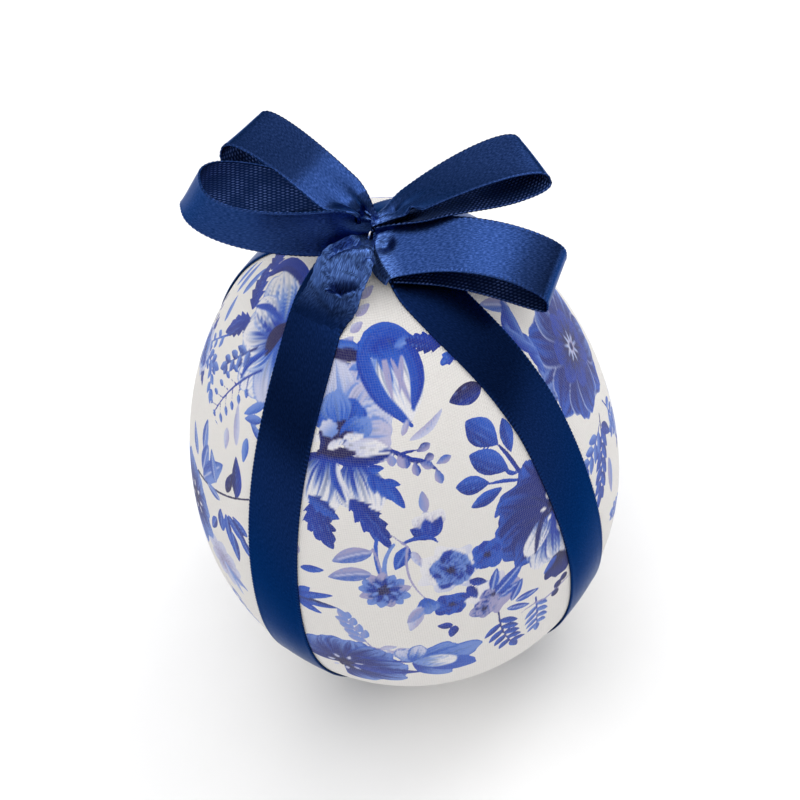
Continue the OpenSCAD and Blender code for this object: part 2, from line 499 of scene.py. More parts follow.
# ---------------------------------------------------------------- ribbon
# Places across it are shares of its half width.
ROW_MM = 0.2
EDGE_COLUMNS = [1.0, 0.985, 0.955, 0.92]
RIB_AT = 0.86  # the thicker woven edge starts here
LOOPS_AT = 0.955  # and its picots here
LOOP_REACH = 0.035  # mm that a picot stands out
COLUMNS = np.array([-v for v in EDGE_COLUMNS] + list(np.linspace(-RIB_AT, RIB_AT, 17))
                   + EDGE_COLUMNS[::-1])


def unit(v):
    """Vectors scaled to length 1."""
    return v / np.linalg.norm(v, axis=-1, keepdims=True)


def lengths_along(points):
    """The length of a line of points from its start up to each point."""
    return np.concatenate([[0], np.cumsum(np.linalg.norm(np.diff(points, axis=0), axis=1))])


def resample(values, along, count):
    """values, given at the lengths along, at count even steps."""
    steps = np.linspace(0, along[-1], count)
    return np.stack([np.interp(steps, along, column) for column in values.T], axis=-1)


def ribbon_quads(rows, columns, closed, flip):
    """A ribbon's faces and their material slots: 0 on its satin side and its edges, 1 on its dull side."""
    count = rows * columns
    satin, dull, walls = [], [], []
    for i in range(rows if closed else rows - 1):
        a, b = i * columns, (i + 1) % rows * columns
        for j in range(columns - 1):
            quad = (a + j, b + j, b + j + 1, a + j + 1)
            satin.append(quad if flip else quad[::-1])
            dull.append(tuple(count + q for q in (quad[::-1] if flip else quad)))
        for j, order in ((0, flip), (columns - 1, not flip)):
            quad = (a + j, a + count + j, b + count + j, b + j)
            walls.append(quad if order else quad[::-1])
    if not closed:
        for start, order in ((0, flip), ((rows - 1) * columns, not flip)):
            for j in range(start, start + columns - 1):
                quad = (j, j + 1, count + j + 1, count + j)
                walls.append(quad if order else quad[::-1])
    return satin + walls + dull, [0] * (len(satin) + len(walls)) + [1] * len(dull)


def ribbon_mesh(name, centre, across, face, half, relief=0.0, slide=0.0, closed=False, materials=()):
    """A ribbon along the points centre: satin on the side that face looks to, dull on the other.

    across is its width direction and half its half width; relief lifts each point along face and
    slide moves it along the ribbon. Both edges are set with the small loops, or picots, of the weft.
    """
    rows, columns = len(centre), len(COLUMNS)
    along = lengths_along(centre)
    v = COLUMNS[None, :]
    beat = 0.5 + 0.5 * np.cos(2 * math.pi * along / PICOT_MM)[:, None]
    at_edge = smooth((np.abs(v) - LOOPS_AT) / 0.03)
    spread = v * half[:, None] + np.sign(v) * at_edge * LOOP_REACH * (beat - 0.4)
    rib = smooth((np.abs(v) - RIB_AT) / 0.06) * (1 - smooth((np.abs(v) - 0.97) / 0.03))
    thick = RIBBON_T / 2 * (1 + 0.35 * rib * beat - 0.45 * at_edge * (1 - beat))
    ahead = unit(np.gradient(centre, axis=0))
    middle = centre[:, None] + across[:, None] * spread[..., None]
    for way, shift in ((face, relief), (ahead, slide)):
        middle = middle + way[:, None] * (np.zeros((rows, columns)) + shift)[..., None]
    normal = unit(np.cross(np.gradient(middle, axis=0), np.gradient(middle, axis=1)))
    normal = normal * np.sign(np.sum(normal * face[:, None], axis=-1).mean())
    lift = normal * thick[..., None]
    points = np.concatenate([(middle + lift).reshape(-1, 3), (middle - lift).reshape(-1, 3)])
    flat = np.stack(np.broadcast_arrays(v * RIBBON_W / 2, along[:, None]), axis=-1).reshape(-1, 2)
    flip = float(np.dot(np.cross(ahead[1], across[1]), face[1])) > 0
    faces, slots = ribbon_quads(rows, columns, closed, flip)
    return make_mesh(name, points, faces, np.concatenate([flat, flat]), materials, slots), along[-1]


def finish_ribbon(piece, node):
    stand_for(piece, node)


# The two bands wrapped crosswise over the egg, each closed under the bow. Near the top they drift
# sideways, so that they cross a little behind the pole: pairs of radius and sideways shift, in mm,
# for each band's half at its own azimuth (1) and for the opposite half (-1).
CROSS_HALF = RIBBON_W / 2
CROSS_STEP = 0.4  # how much higher the second band lies where it crosses the first
SKIN_GAP = 0.04  # between the cotton and a band
DRIFT_ROWS = 41  # rows over which the drift is smoothed
POLE_R = 10.0  # within this radius a band's reach shrinks evenly to nothing over the pole
STEP_FROM, STEP_RUN = 0.6, 2.6  # the second band comes down past the first one's edge over this stretch
NARROW_FROM, NARROW_RUN = 11.0, 7.0  # the bands narrow under the bow, from this radius inwards
NARROWER = 0.22
BAND_PLEATS = 0.28
LEAST_BEND = 9.0  # radius of the sharpest curve that a band takes across its width
HUG = 0.82  # how fully a band takes the egg's curve across its width
UNDER_DRIFT = {1: ((0, -2.8), (6, -2.5), (10, -1.8), (14, -1.2), (18, -0.5), (22, -0.2), (27, 0.0)),
               -1: ((0, -2.8), (8, -2.5), (15, -1.6), (22, -0.6), (30, 0.0))}
OVER_DRIFT = {1: ((0, 2.3), (5, 2.1), (8, 1.3), (11, 0.4), (16, 0.0), (20, 0.2), (25, 0.6), (30, 0.8),
                  (36, 0.2)),
              -1: ((0, 2.3), (15, 2.3), (27, 1.9), (33, 0.8), (38, 0.0))}


def drifted(q, drift):
    """A band's meridian pulled sideways near the top: reach from the axis, sideways shift, arc length."""
    s = S_HIGH - np.abs(q)
    r = meridian(s)[0]
    shift = np.where(q < 0, np.interp(r, *zip(*drift[-1])), np.interp(r, *zip(*drift[1])))
    shift = shift * (s > 0)
    kernel = np.hanning(DRIFT_ROWS) / np.hanning(DRIFT_ROWS).sum()
    pad = DRIFT_ROWS // 2
    shift = np.convolve(np.concatenate([shift[-pad:], shift, shift[:pad]]), kernel, mode="valid")
    reach = np.where(r > POLE_R, np.sqrt(np.maximum(r ** 2 - shift ** 2, 0)),
                     r * np.sqrt(POLE_R ** 2 - shift ** 2) / POLE_R)
    true_r = np.where(s > 0, np.hypot(reach, shift), r)
    s = np.where(s > 0, np.interp(-true_r, -OUT_R[OUT_S >= 0], OUT_S[OUT_S >= 0]), s)
    return reach, shift, s


def wrap_band(name, node, azimuth, over, drift, materials):
    """One band round the egg through both its poles, near the upright plane at that azimuth."""
    half_turn = S_HIGH - S_LOW
    rows = 2 * int(half_turn / ROW_MM)
    q = np.linspace(-half_turn, half_turn, rows, endpoint=False)
    ahead_way, side_way = level_ways(azimuth)
    reach, shift, s = drifted(q, drift)
    r, z, nr, nz = meridian(s)
    level = (np.where(q < 0, -1.0, 1.0) * reach)[:, None] * ahead_way + shift[:, None] * side_way
    outward = level / np.maximum(np.linalg.norm(level, axis=1), 1e-6)[:, None]
    out = unit(outward * nr[:, None] + nz[:, None] * UP)
    at_poles = np.where(s > 0, reach, half_turn - np.abs(q))
    lift = SKIN_GAP + RIBBON_T / 2 + np.zeros(rows)
    if over:
        lift = lift + CROSS_STEP * (1 - smooth((at_poles - CROSS_HALF - STEP_FROM) / STEP_RUN))
    centre = level + z[:, None] * UP + out * lift[:, None]
    ahead = unit(np.roll(centre, -1, axis=0) - np.roll(centre, 1, axis=0))
    across = unit(np.cross(ahead, out))
    across = across * np.sign(across @ side_way)[:, None]
    # gathered narrower under the bow, hollow like the egg across it, and a little pleated there
    narrow = np.where(s > 0, smooth((NARROW_FROM - reach) / NARROW_RUN), 0.0)
    half = CROSS_HALF * (1 - NARROWER * narrow)
    bend = np.maximum(r / np.maximum(np.abs(nr), 0.02), LEAST_BEND)
    v = COLUMNS[None, :]
    sag = (v * half[:, None]) ** 2 / (2 * bend[:, None]) * HUG
    off_flat = smooth((r - FLAT_R) / 3.0)[:, None]
    relief = -sag * np.where((s > 0)[:, None], 1.0, off_flat)
    relief = relief + BAND_PLEATS * narrow[:, None] * (0.6 + np.sin(7.5 * v + 1.0))
    piece, length = ribbon_mesh(name, centre, across, out, half, relief, closed=True,
                                materials=materials)
    finish_ribbon(piece, node)


# The four loops of the bow: near the CAD loops' path, with pleats where the wire gathers them.
def loop_frame(az, el, roll):
    """A loop's own directions: outwards at an azimuth and elevation, across and facing, in degrees."""
    a, e, t = math.radians(az), math.radians(el), math.radians(roll)
    d = np.array([math.sin(a) * math.cos(e), -math.cos(a) * math.cos(e), math.sin(e)])
    side = np.array([math.cos(a), math.sin(a), 0.0]) * np.sign(math.sin(a))
    up = np.cross(d, side)
    up = up * np.sign(up[2])
    across = math.cos(t) * side + math.sin(t) * up
    face = -math.sin(t) * side + math.cos(t) * up
    return d, across, face


BULGE_WAY = np.array([-0.018, -0.589, 0.808])  # up and to the front
RIPPLE = 0.12
# What a loop has unless it is given. arch and sway move its far end along its face and across it;
# twist turns it there, in degrees, and lean tips its width outwards. pinch is its share of the full
# width at the root. Its ribbon starts and ends at these shares of the whole loop. pleats, depth and
# phase are the gathers at its root. close draws its second strip in near the root; drop, tip and
# bulge shift, turn and raise its first strip; shoulder pulls the first strip's middle back into the
# knot. dents are soft bumps: (mm along, share across, height, length, share wide).
PLAIN_LOOP = {"arch": 0.0, "sway": 0.0, "twist": 0.0, "lean": 0.0, "pinch": 0.25, "start": 0.06,
              "end": 0.06, "pleats": 2.0, "depth": 0.8, "phase": 0.0, "close": 0.0, "drop": 0.0,
              "tip": 0.0, "bulge": 0.0, "dents": (), "shoulder": 0.0}


def loop_route(loop, root, length, gap, blunt, d, across, face):
    """The loop's middle line out to its far end and back: points, width directions, half widths, q.

    q is the share of the way out, from 0 at the root to 1 at the far end.
    """
    p = np.linspace(loop.start, 1 - loop.end, 1500)
    q = 1 - np.abs(np.cos(math.pi * p)) ** blunt
    beyond = np.where(p > 0.5, 1 - loop.close * (1 - smooth((q - 0.3) / 0.5)), 1.0)
    first = np.maximum(np.sin(2 * math.pi * p), 0) * np.sqrt(q)
    offset = gap / 2 * np.sin(2 * math.pi * p) * np.sqrt(q) * beyond + loop.arch * q ** 2
    centre = np.array(root) + (length * q)[:, None] * d
    centre = centre + (loop.sway * q ** 2 + loop.drop * first)[:, None] * across + offset[:, None] * face
    raised = np.where(p < 0.5, smooth(q / 0.25) * (1 - smooth((q - 0.45) / 0.55)), 0.0)
    centre = centre + (loop.bulge * raised)[:, None] * BULGE_WAY
    turn = np.radians(loop.twist * q + loop.tip * first)
    width = np.cos(turn)[:, None] * across + np.sin(turn)[:, None] * face + (loop.lean * q)[:, None] * d
    half = RIBBON_W / 2 * (loop.pinch + (1 - loop.pinch) * smooth(3 * q))
    along = lengths_along(centre)
    count = int(along[-1] / ROW_MM)
    half, q = resample(np.stack([half, q], axis=-1), along, count).T
    return resample(centre, along, count), unit(resample(unit(width), along, count)), half, q, along[-1]


def loop_relief(loop, nest, half, q, along):
    """Pleats under the wire, ripples along the loop and its dents, in mm along the ribbon's face."""
    v = COLUMNS[None, :]
    gathered = 1 - half / (RIBBON_W / 2)
    fan = loop.depth * np.maximum(gathered, 0) ** 0.7 + RIPPLE * (1 - smooth(q * 1.6))
    relief = (fan * nest)[:, None] * np.sin(math.pi * loop.pleats * v + loop.phase)
    relief = relief + 0.5 * RIPPLE * np.sin(2.2 * v + 5 * q[:, None] + loop.phase)
    for at, side, height, long, wide in loop.dents:
        bump = np.exp(-((along[:, None] - at) / long) ** 2) * np.exp(-((v - side) / wide) ** 2)
        relief = relief + height * bump
    return relief


def bow_loop(place, materials, root, az, el, roll, length, gap, blunt, **shape):
    """One loop of the bow, standing out of the knot in the direction az, el and rolled about it."""
    loop = SimpleNamespace(**{**PLAIN_LOOP, **shape})
    d, across, face = loop_frame(az, el, roll)
    centre, width, half, q, long = loop_route(loop, root, length, gap, blunt, d, across, face)
    along = np.linspace(0, long, len(centre))
    out = unit(np.cross(np.gradient(centre, axis=0), width))
    sign = 1.0 if np.dot(out[len(centre) // 8], face) * np.sign(gap) > 0 else -1.0
    out = out * sign
    relief = loop_relief(loop, out @ face, half, q, along)
    slide = 0.0
    if loop.shoulder:
        fade = np.exp(-(along / 4.0) ** 2)[:, None]
        slide = -loop.shoulder * (1 - COLUMNS[None, :] ** 2) * fade
        relief = relief - 1.8 * np.exp(-(along / 0.9) ** 2)[:, None]
    node = "bow_loop_" + place
    piece, size = ribbon_mesh(node + "_ribbon", centre, width, out, half, relief, slide,
                              materials=materials)
    finish_ribbon(piece, node)


def add_bow(materials):
    """The four loops. Their roots lie in the knot, and lengths and gaps are in mm."""
    bow_loop("upper_left", materials, [2.9, -0.2, GATHER_Z - 0.8], -138, 11, -21, 28, 7.2, 2.7,
             arch=2, sway=-1.2, twist=12, start=0.055, end=0.055, pleats=2.2, depth=0.7, phase=0.6,
             pinch=0.3, close=0.1, bulge=4.4,
             dents=((5.0, -1.0, 2.6, 1.7, 0.55), (3.0, 0.1, -0.8, 1.2, 0.5)))
    bow_loop("lower_left", materials, [2.9, 0.2, GATHER_Z - 0.1], -96, 25, 75, 30.5, -16, 2.5,
             arch=-1, twist=29, lean=-0.05, start=0.07, end=0.07, pleats=1.4, depth=0.5, phase=1.2,
             drop=-0.7, tip=-9.0)
    bow_loop("upper_right", materials, [-0.3, 0.3, GATHER_Z - 0.6], 108, 2, -37, 30.7, 5.1, 2.7,
             arch=-2, sway=-0.7, twist=38, start=0.07, end=0.07, pleats=2.4, depth=0.7, phase=2.4,
             pinch=0.35, close=0.6,
             dents=((6.5, -1.0, 1.1, 0.8, 0.4), (4.6, 0.3, -0.7, 1.4, 0.5)))
    bow_loop("lower_right", materials, [-1.1, -3.8, GATHER_Z - 1.8], 95, 1, 11, 29, 8, 3.3,
             arch=-7.6, sway=-9.4, twist=-2, lean=0.7, pinch=0.92, start=0.075, end=0.1, pleats=1.0,
             depth=0.4, phase=0.3, shoulder=1.6,
             dents=((2.6, 0.25, -1.1, 1.1, 0.3), (1.6, -0.2, 0.5, 1.2, 0.4)))


# The wire holds the bow's middle in a small ring, whose axis points to the front right
WIRE_RING = 1.65
WIRE_R = 0.2
GATHER_FRONT, GATHER_BACK = -2.6, 0.9  # the bundle's ends along the ring's axis
WIRE_CENTRE = np.array([1.75, 0.3, GATHER_Z - 1.1])
WIRE_UP = np.array([0.455, 0.715, 0.531])
WIRE_FRONT = np.array([-0.456, -0.449, 0.776])
WIRE_AXIS = np.array([0.793, -0.595, 0.122])


def add_gather(materials):
    """The stacked ribbons under the wire: a waisted bundle with its pleats running along it."""
    rows, columns = 60, 220
    x = np.linspace(GATHER_FRONT, GATHER_BACK, rows)
    out = np.abs(x) / -GATHER_FRONT
    radius = WIRE_RING - WIRE_R + 0.95 * smooth((out - 0.12) / 0.6) - 0.9 * smooth((out - 0.8) / 0.25)
    turn = np.linspace(0, 2 * math.pi, columns, endpoint=False)
    folds = np.sin(9 * turn + 1.1) + 0.6 * np.sin(14 * turn + 2.3) + 0.4 * np.sin(23 * turn)
    depth = 0.05 + 0.13 * smooth((out - 0.12) / 0.4)
    r = radius[:, None] + depth[:, None] * (folds[None, :] - 1.2)
    twist = turn[None, :] + 0.12 * np.sin(x)[:, None]
    ring = np.cos(twist)[..., None] * WIRE_UP + np.sin(twist)[..., None] * WIRE_FRONT
    points = WIRE_CENTRE + x[:, None, None] * WIRE_AXIS + r[..., None] * ring
    faces = [face[::-1] for face in grid_faces(rows, columns, closed=True)]
    faces.append(tuple(range(columns)))
    faces.append(tuple(range((rows - 1) * columns, rows * columns))[::-1])
    flat = np.stack(np.broadcast_arrays(turn[None, :] * 5, x[:, None]), axis=-1).reshape(-1, 2)
    piece = make_mesh("bow_gather_pleats", points.reshape(-1, 3), faces, flat, materials[:1])
    stand_for(piece, "bow_gather")


WIRE_SIDES = 16


def tube(name, path, radius, materials):
    """A closed ring of round wire along a path in mm."""
    ahead = unit(np.roll(path, -1, axis=0) - np.roll(path, 1, axis=0))
    one = unit(np.cross(ahead, np.array([1.0, 0.0, 0.0])))
    two = np.cross(ahead, one)
    turn = np.linspace(0, 2 * math.pi, WIRE_SIDES, endpoint=False)
    ring = np.cos(turn)[None, :, None] * one[:, None] + np.sin(turn)[None, :, None] * two[:, None]
    points = (path[:, None] + radius * ring).reshape(-1, 3)
    count = len(path)
    faces = []
    for i in range(count):
        a, b = i * WIRE_SIDES, ((i + 1) % count) * WIRE_SIDES
        for j in range(WIRE_SIDES):
            k = (j + 1) % WIRE_SIDES
            faces.append((a + j, a + k, b + k, b + j))
    return make_mesh(name, points, faces, materials=materials)


WIRE_BOW = 0.95  # how far the wire bows out of the ring where it shows


def add_wire():
    """The ring of wire round the knot, bowed outwards and a little aside where it shows."""
    turn = np.linspace(0, 2 * math.pi, 160, endpoint=False)
    bowed = np.exp(-((turn - math.pi / 2) / 0.55) ** 2)
    radius = WIRE_RING + 0.03 * np.sin(2 * turn) + 0.02 * np.sin(5 * turn + 1) + WIRE_BOW * bowed
    ring = np.cos(turn)[:, None] * WIRE_UP + np.sin(turn)[:, None] * WIRE_FRONT
    aside = 0.12 * np.sin(turn + 0.7) + 0.6 * bowed
    path = WIRE_CENTRE + radius[:, None] * ring + aside[:, None] * WIRE_AXIS
    piece = tube("tie_wire_ring", path, WIRE_R, [wire_material()])
    stand_for(piece, "tie_wire")


# The crumpled end of the front left band. Its ridges are lines through (mm from the pole along the
# band, mm across it), each with a height and a width.
FOLD_RIDGES = (
    (((-1.0, -0.9), (0.6, -2.6), (2.4, -3.8), (4.2, -4.1), (5.8, -3.8), (7.6, -2.6), (9.3, -0.8),
      (9.9, 1.4), (9.0, 3.2), (7.4, 4.1), (5.4, 4.2), (3.6, 3.6)), 2.4, 1.1),
    (((6.4, -3.0), (4.6, -1.2), (3.4, 0.4), (2.4, 2.4)), 1.9, 1.25),
    (((6.1, 0.0), (5.6, 2.2)), 0.7, 0.5),
)
FOLD_HOLLOWS = (
    (((8.6, -0.9), (7.8, 1.0), (6.7, 2.9)), 1.9, 1.15),
    (((4.1, -3.2), (2.6, -2.2), (1.0, -0.7)), 0.9, 0.8),
)
FOLD_START, FOLD_END = 13.5, -0.6  # mm from the pole
FOLD_ROWS = 110
FOLD_LIFT = 0.62  # of the flat fold above the cotton
FOLD_SUNK = 0.4  # how far its start edge sinks into the ribbon under it
FOLD_FORWARD = 4.2  # how far its crumpled part leans up and to the front
FOLD_KNOT = (7.4, 1.2)  # fine creases fan out from here: mm from the pole, mm across


def near_line(x, y, line):
    """Distance in mm from each point to a line of several stretches."""
    best = np.full(np.broadcast(x, y).shape, 1e9)
    for (ax, ay), (bx, by) in zip(line[:-1], line[1:]):
        dx, dy = bx - ax, by - ay
        t = np.clip(((x - ax) * dx + (y - ay) * dy) / (dx * dx + dy * dy), 0, 1)
        best = np.minimum(best, np.hypot(x - ax - t * dx, y - ay - t * dy))
    return best


def fold_height(rho, w):
    """Heights in mm of the ridges, hollows, pleats and creases, before the fold's start fades in."""
    lift = np.zeros(w.shape)
    for line, height, wide in FOLD_RIDGES:
        lift = np.maximum(lift, height * np.exp(-(near_line(rho, w, line) / wide) ** 2))
    for line, height, wide in FOLD_HOLLOWS:
        lift = lift - height * np.exp(-(near_line(rho, w, line) / wide) ** 2)
    pleats = 0.22 * np.sin(2.9 * w - 0.8 * rho) + 0.12 * np.sin(5.3 * w + 0.7 * rho)
    pleats = pleats * np.exp(-((rho - 9.5) / 2.6) ** 2) * smooth((w + 1.5) / 3.0)
    dx, dy = rho - FOLD_KNOT[0], w - FOLD_KNOT[1]
    spoke = np.arctan2(dy, dx)
    creases = np.sin(26 * spoke + 3 * np.sin(2.3 * spoke)) * smooth((np.hypot(dx, dy) - 1.2) / 1.5)
    return lift, pleats, creases


def add_end_fold(materials):
    """The end of the front left band, crumpled into soft folds where it runs in under the wire."""
    ahead_way, side_way = level_ways(-45)
    reach = np.linspace(FOLD_START, FOLD_END, FOLD_ROWS)
    middle_line = np.interp(reach, (-1, 2, 5, 9, 14), (0.0, -0.6, -0.2, -0.2, -1.5))
    half = np.interp(reach, (-1, 1, 3, 5, 14), (1.4, 3.2, 4.6, 5.0, 5.0))
    w = middle_line[:, None] + COLUMNS[None, :] * half[:, None]
    rho = np.broadcast_to(reach[:, None], w.shape)
    lift, pleats, creases = fold_height(rho, w)
    rise = np.interp(reach, (-1, 3, 8, 10, 14), (2.4, 1.2, 0.45, 0.25, 0.0))[:, None]
    fade = smooth((FOLD_START - rho) / 5.0)
    top = np.interp(-np.hypot(rho, w), -OUT_R[OUT_S >= 0], OUT_Z[OUT_S >= 0])
    sunk = FOLD_SUNK * (1 - smooth((FOLD_START - rho) / 2.5))
    z = top + FOLD_LIFT - sunk + fade * (lift + rise) + pleats
    z = z + 0.10 * fade * creases
    forward = FOLD_FORWARD * smooth((9.5 - reach) / 6.0) * smooth((reach + 1.0) / 2.0)
    z = z + (forward * BULGE_WAY[2])[:, None]
    centre = reach[:, None] * ahead_way + middle_line[:, None] * side_way
    centre = centre + forward[:, None] * BULGE_WAY * (1.0, 1.0, 0.0)
    across, face = np.tile(side_way, (FOLD_ROWS, 1)), np.tile(UP, (FOLD_ROWS, 1))
    piece, _ = ribbon_mesh("wrap_end_fold_ribbon", centre, across, face, half, z, materials=materials)
    finish_ribbon(piece, "wrap_end_fold")


# ---------------------------------------------------------------- cotton gores
EDGE_GAP = 0.15  # from a groove's middle to the cloth beside it
CLOTH_T = 0.3
TUCK_MM = 3.0  # of cloth pushed down into a groove
GORE_ROWS = 380
GORE_COLUMNS = 222
LINING_COLUMNS = 20
CLOSE_R = 2.2  # the gores end this far from the axis, under the ribbons' crossings


def gore_points(azimuth, columns, gap, depth):
    """Points of one face of a gore, its azimuths and its arc lengths; the edge columns are tucked."""
    top = np.interp(-CLOSE_R, -OUT_R[OUT_S > 0], OUT_S[OUT_S > 0])
    bottom = np.interp(CLOSE_R, OUT_R[OUT_S < 0], OUT_S[OUT_S < 0])
    s = np.linspace(bottom, top, GORE_ROWS)
    r = meridian(s)[0]
    reach = math.pi / 4 - np.arcsin(np.minimum(gap / r, 0.99))
    t = np.concatenate([[-1.0, -1.0], np.linspace(-1, 1, columns), [1.0, 1.0]])
    sunk = np.concatenate([[-TUCK_MM, -TUCK_MM / 2], np.zeros(columns), [-TUCK_MM / 2, -TUCK_MM]])
    near = smooth((np.abs(t) - 0.955) / 0.045) * 0.28
    az = math.radians(azimuth) + reach[:, None] * t[None, :]
    lift = np.broadcast_to((sunk - near - depth)[None, :], az.shape)
    s2 = np.broadcast_to(s[:, None], az.shape)
    return on_egg(az, s2, lift), az, s2, reach


def gore_faces(rows, columns, inner):
    """The cloth's face and its lining, joined all round their edges."""
    start = rows * columns
    faces = grid_faces(rows, columns)
    faces += [face[::-1] for face in grid_faces(rows, inner, start)]
    for i in range(rows - 1):
        a, b = i * columns, start + i * inner
        faces.append((a, a + columns, b + inner, b))
        a, b = a + columns - 1, b + inner - 1
        faces.append((a, b, b + inner, a + columns))
    for row, order in ((0, 1), (rows - 1, -1)):
        outer_ring = tuple(range(row * columns, (row + 1) * columns))
        inner_ring = tuple(range(start + row * inner, start + (row + 1) * inner))
        faces.append((outer_ring + inner_ring[::-1])[::-order])
    return faces


def cotton_gore(name, node, azimuth, material, motifs):
    """A quarter of the egg's cloth, with its print, from one groove to the next."""
    face_mm, az, s, reach = gore_points(azimuth, GORE_COLUMNS, EDGE_GAP, 0.0)
    lining, az_in, s_in, _ = gore_points(azimuth, LINING_COLUMNS, EDGE_GAP + CLOTH_T, CLOTH_T)
    rows, columns = face_mm.shape[:2]
    points = np.concatenate([face_mm.reshape(-1, 3), lining.reshape(-1, 3)])
    middle = math.radians(azimuth)
    flat = [np.stack([(turn - middle) * meridian(up)[0], up], axis=-1).reshape(-1, 2)
            for turn, up in ((az, s), (az_in, s_in))]
    faces = gore_faces(rows, columns, lining.shape[1])
    piece = make_mesh(name, points, faces, np.concatenate(flat), [material])
    paint = Print(face_mm.reshape(-1, 3), azimuth)
    motifs(paint)
    paint.apply(piece, len(points))
    stand_for(piece, node)


# ---------------------------------------------------------------- the printed flowers
# Motifs are placed by azimuth in degrees from the gore's middle and by arc length in mm up from the
# egg's widest section, and drawn in mm round that place. Turns are degrees clockwise from straight up.
WHITE = ink(238, 236, 241)
PALE = ink(205, 208, 234)
MAUVE = ink(196, 194, 224)
LILAC = ink(168, 163, 204)
SKY = ink(112, 144, 218)
BLUE = ink(36, 88, 196)
ROYAL = ink(10, 54, 168)
DEEP = ink(10, 32, 124)
NIGHT = ink(30, 24, 84)
BLEED_MM = 0.8  # the ink's colour reaches this far past its edge, so that no white rim shows
EDGE_SOFT = 0.14  # an ink's edge blends into the ink under it over twice this
NO_INK = -1.0
THICK = 3.0  # distances inside a motif are cut off here
PATCH_MM = 17.0  # how far from its place a motif can reach


def blend_colours(a, b, amount):
    """Colour a where amount is 0, and b where it is 1."""
    amount = np.clip(np.asarray(amount), 0.0, 1.0)[..., None]
    return a * (1 - amount) + b * amount


def grain(a, b, seed):
    """A smooth, repeatable unevenness from 0 to 1."""
    wave = np.sin(a + 1.7 * seed) + np.sin(1.93 * a + 1.3 * b + 2.9 * seed)
    wave = wave + 0.7 * np.sin(3.71 * a - 0.8 * b + 4.1 * seed) + 0.5 * np.sin(2.4 * b + 6.3 * a + seed)
    return np.clip(0.5 + wave / 5.0, 0.0, 1.0)


class Print:
    """The ink on one gore: a colour at each point, and how many mm inside the ink's edge it is."""

    def __init__(self, points, azimuth):
        self.points = points
        self.colour = np.tile(WHITE, (len(points), 1))
        self.edge = np.full(len(points), -THICK)
        self.place(azimuth)

    def place(self, azimuth, mirror=1.0, rise=0.0):
        """Where the next motifs go: all their azimuths count from this one, mirrored if it is -1."""
        self.azimuth, self.mirror, self.rise = azimuth, mirror, rise

    def lay(self, where, inside, colour, soft):
        """Ink over what is there already; fresh cloth takes the new colour at full strength."""
        old = self.edge[where]
        cover = smooth(inside / (2 * soft) + 0.5)
        fresh = (old < 0) & (inside > old) & (inside > -BLEED_MM)
        amount = np.where(fresh, 1.0, cover)[:, None]
        self.colour[where] = self.colour[where] * (1 - amount) + colour * amount
        self.edge[where] = np.maximum(old, inside)

    def apply(self, piece, count):
        """Stores the ink on the mesh, whose first points are this gore's face."""
        values = np.ones((count, 4), dtype=np.float32)
        values[:len(self.colour), :3] = linear(self.colour)
        colour = piece.data.color_attributes.new("print_colour", "FLOAT_COLOR", "POINT")
        colour.data.foreach_set("color", values.ravel())
        edge_values = np.full(count, NO_INK, dtype=np.float32)
        edge_values[:len(self.edge)] = self.edge
        edge = piece.data.attributes.new("print_edge", "FLOAT", "POINT")
        edge.data.foreach_set("value", edge_values)


class Patch:
    """Flat coordinates in mm round one place on the gore: x towards growing azimuth and y up."""

    def __init__(self, paint, az, s):
        self.paint = paint
        a = math.radians(paint.azimuth + paint.mirror * az)
        s = s + paint.rise
        here = on_egg(a, s)
        north = unit(on_egg(a, s + 0.5) - on_egg(a, s - 0.5))
        east = np.array([math.cos(a), math.sin(a), 0.0])
        away = paint.points - here
        far = np.linalg.norm(away, axis=1)
        self.where = np.flatnonzero(far < PATCH_MM)
        away, far = away[self.where], far[self.where]
        x, y = away @ east, away @ north
        stretch = far / np.maximum(np.hypot(x, y), 1e-6)
        self.x, self.y = x * stretch * paint.mirror, y * stretch

    def along(self, x, y, turn):
        """Distances along and to the right of a line from (x, y), turned clockwise from up."""
        t = math.radians(turn)
        dx, dy = self.x - x, self.y - y
        return dx * math.sin(t) + dy * math.cos(t), dx * math.cos(t) - dy * math.sin(t)

    def lay(self, inside, colour, soft=EDGE_SOFT):
        """Inks the points near enough, given how far inside the motif's edge each one is."""
        near = inside > -BLEED_MM - 0.4
        colours = np.broadcast_to(colour, (len(near), 3))[near]
        self.paint.lay(self.where[near], inside[near], colours, soft)


def leaf(patch, turn, length, width, dark=DEEP, light=ROYAL, x=0.0, y=0.0, bend=0.0, teeth=0, seed=1.0,
         vein=None, blunt=0.8):
    """A pointed leaf, darker on one half, with a fine vein and, if asked, a toothed edge."""
    along, across = patch.along(x, y, turn)
    t = np.clip(along / length, 0.0, 1.0)
    across = across - bend * 4 * t * (1 - t)
    profile = np.sin(math.pi * t ** blunt) ** 0.8
    if teeth:
        saw = (t * teeth + 0.15 * np.sign(across)) % 1.0
        profile = profile * (0.66 + 0.42 * saw)
    half = width / 2 * profile
    inside = np.minimum(half - np.abs(across), THICK) - np.abs(along - t * length)
    streak = grain(across * 5.0, along * 1.1, seed)
    mid = blend_colours(dark, light, 0.5 + 0.5 * np.clip(across / (0.3 * width), -1, 1))
    colour = blend_colours(mid, light, streak * 0.7)
    colour = blend_colours(colour, SKY, 0.5 * smooth((streak - 0.72) / 0.2) * smooth(t * 2))
    if vein is not None:
        line = smooth(1.25 - np.abs(across) / 0.22) * smooth((0.9 - t) / 0.1)
        colour = blend_colours(colour, vein, line * 0.8)
    patch.lay(inside, colour)


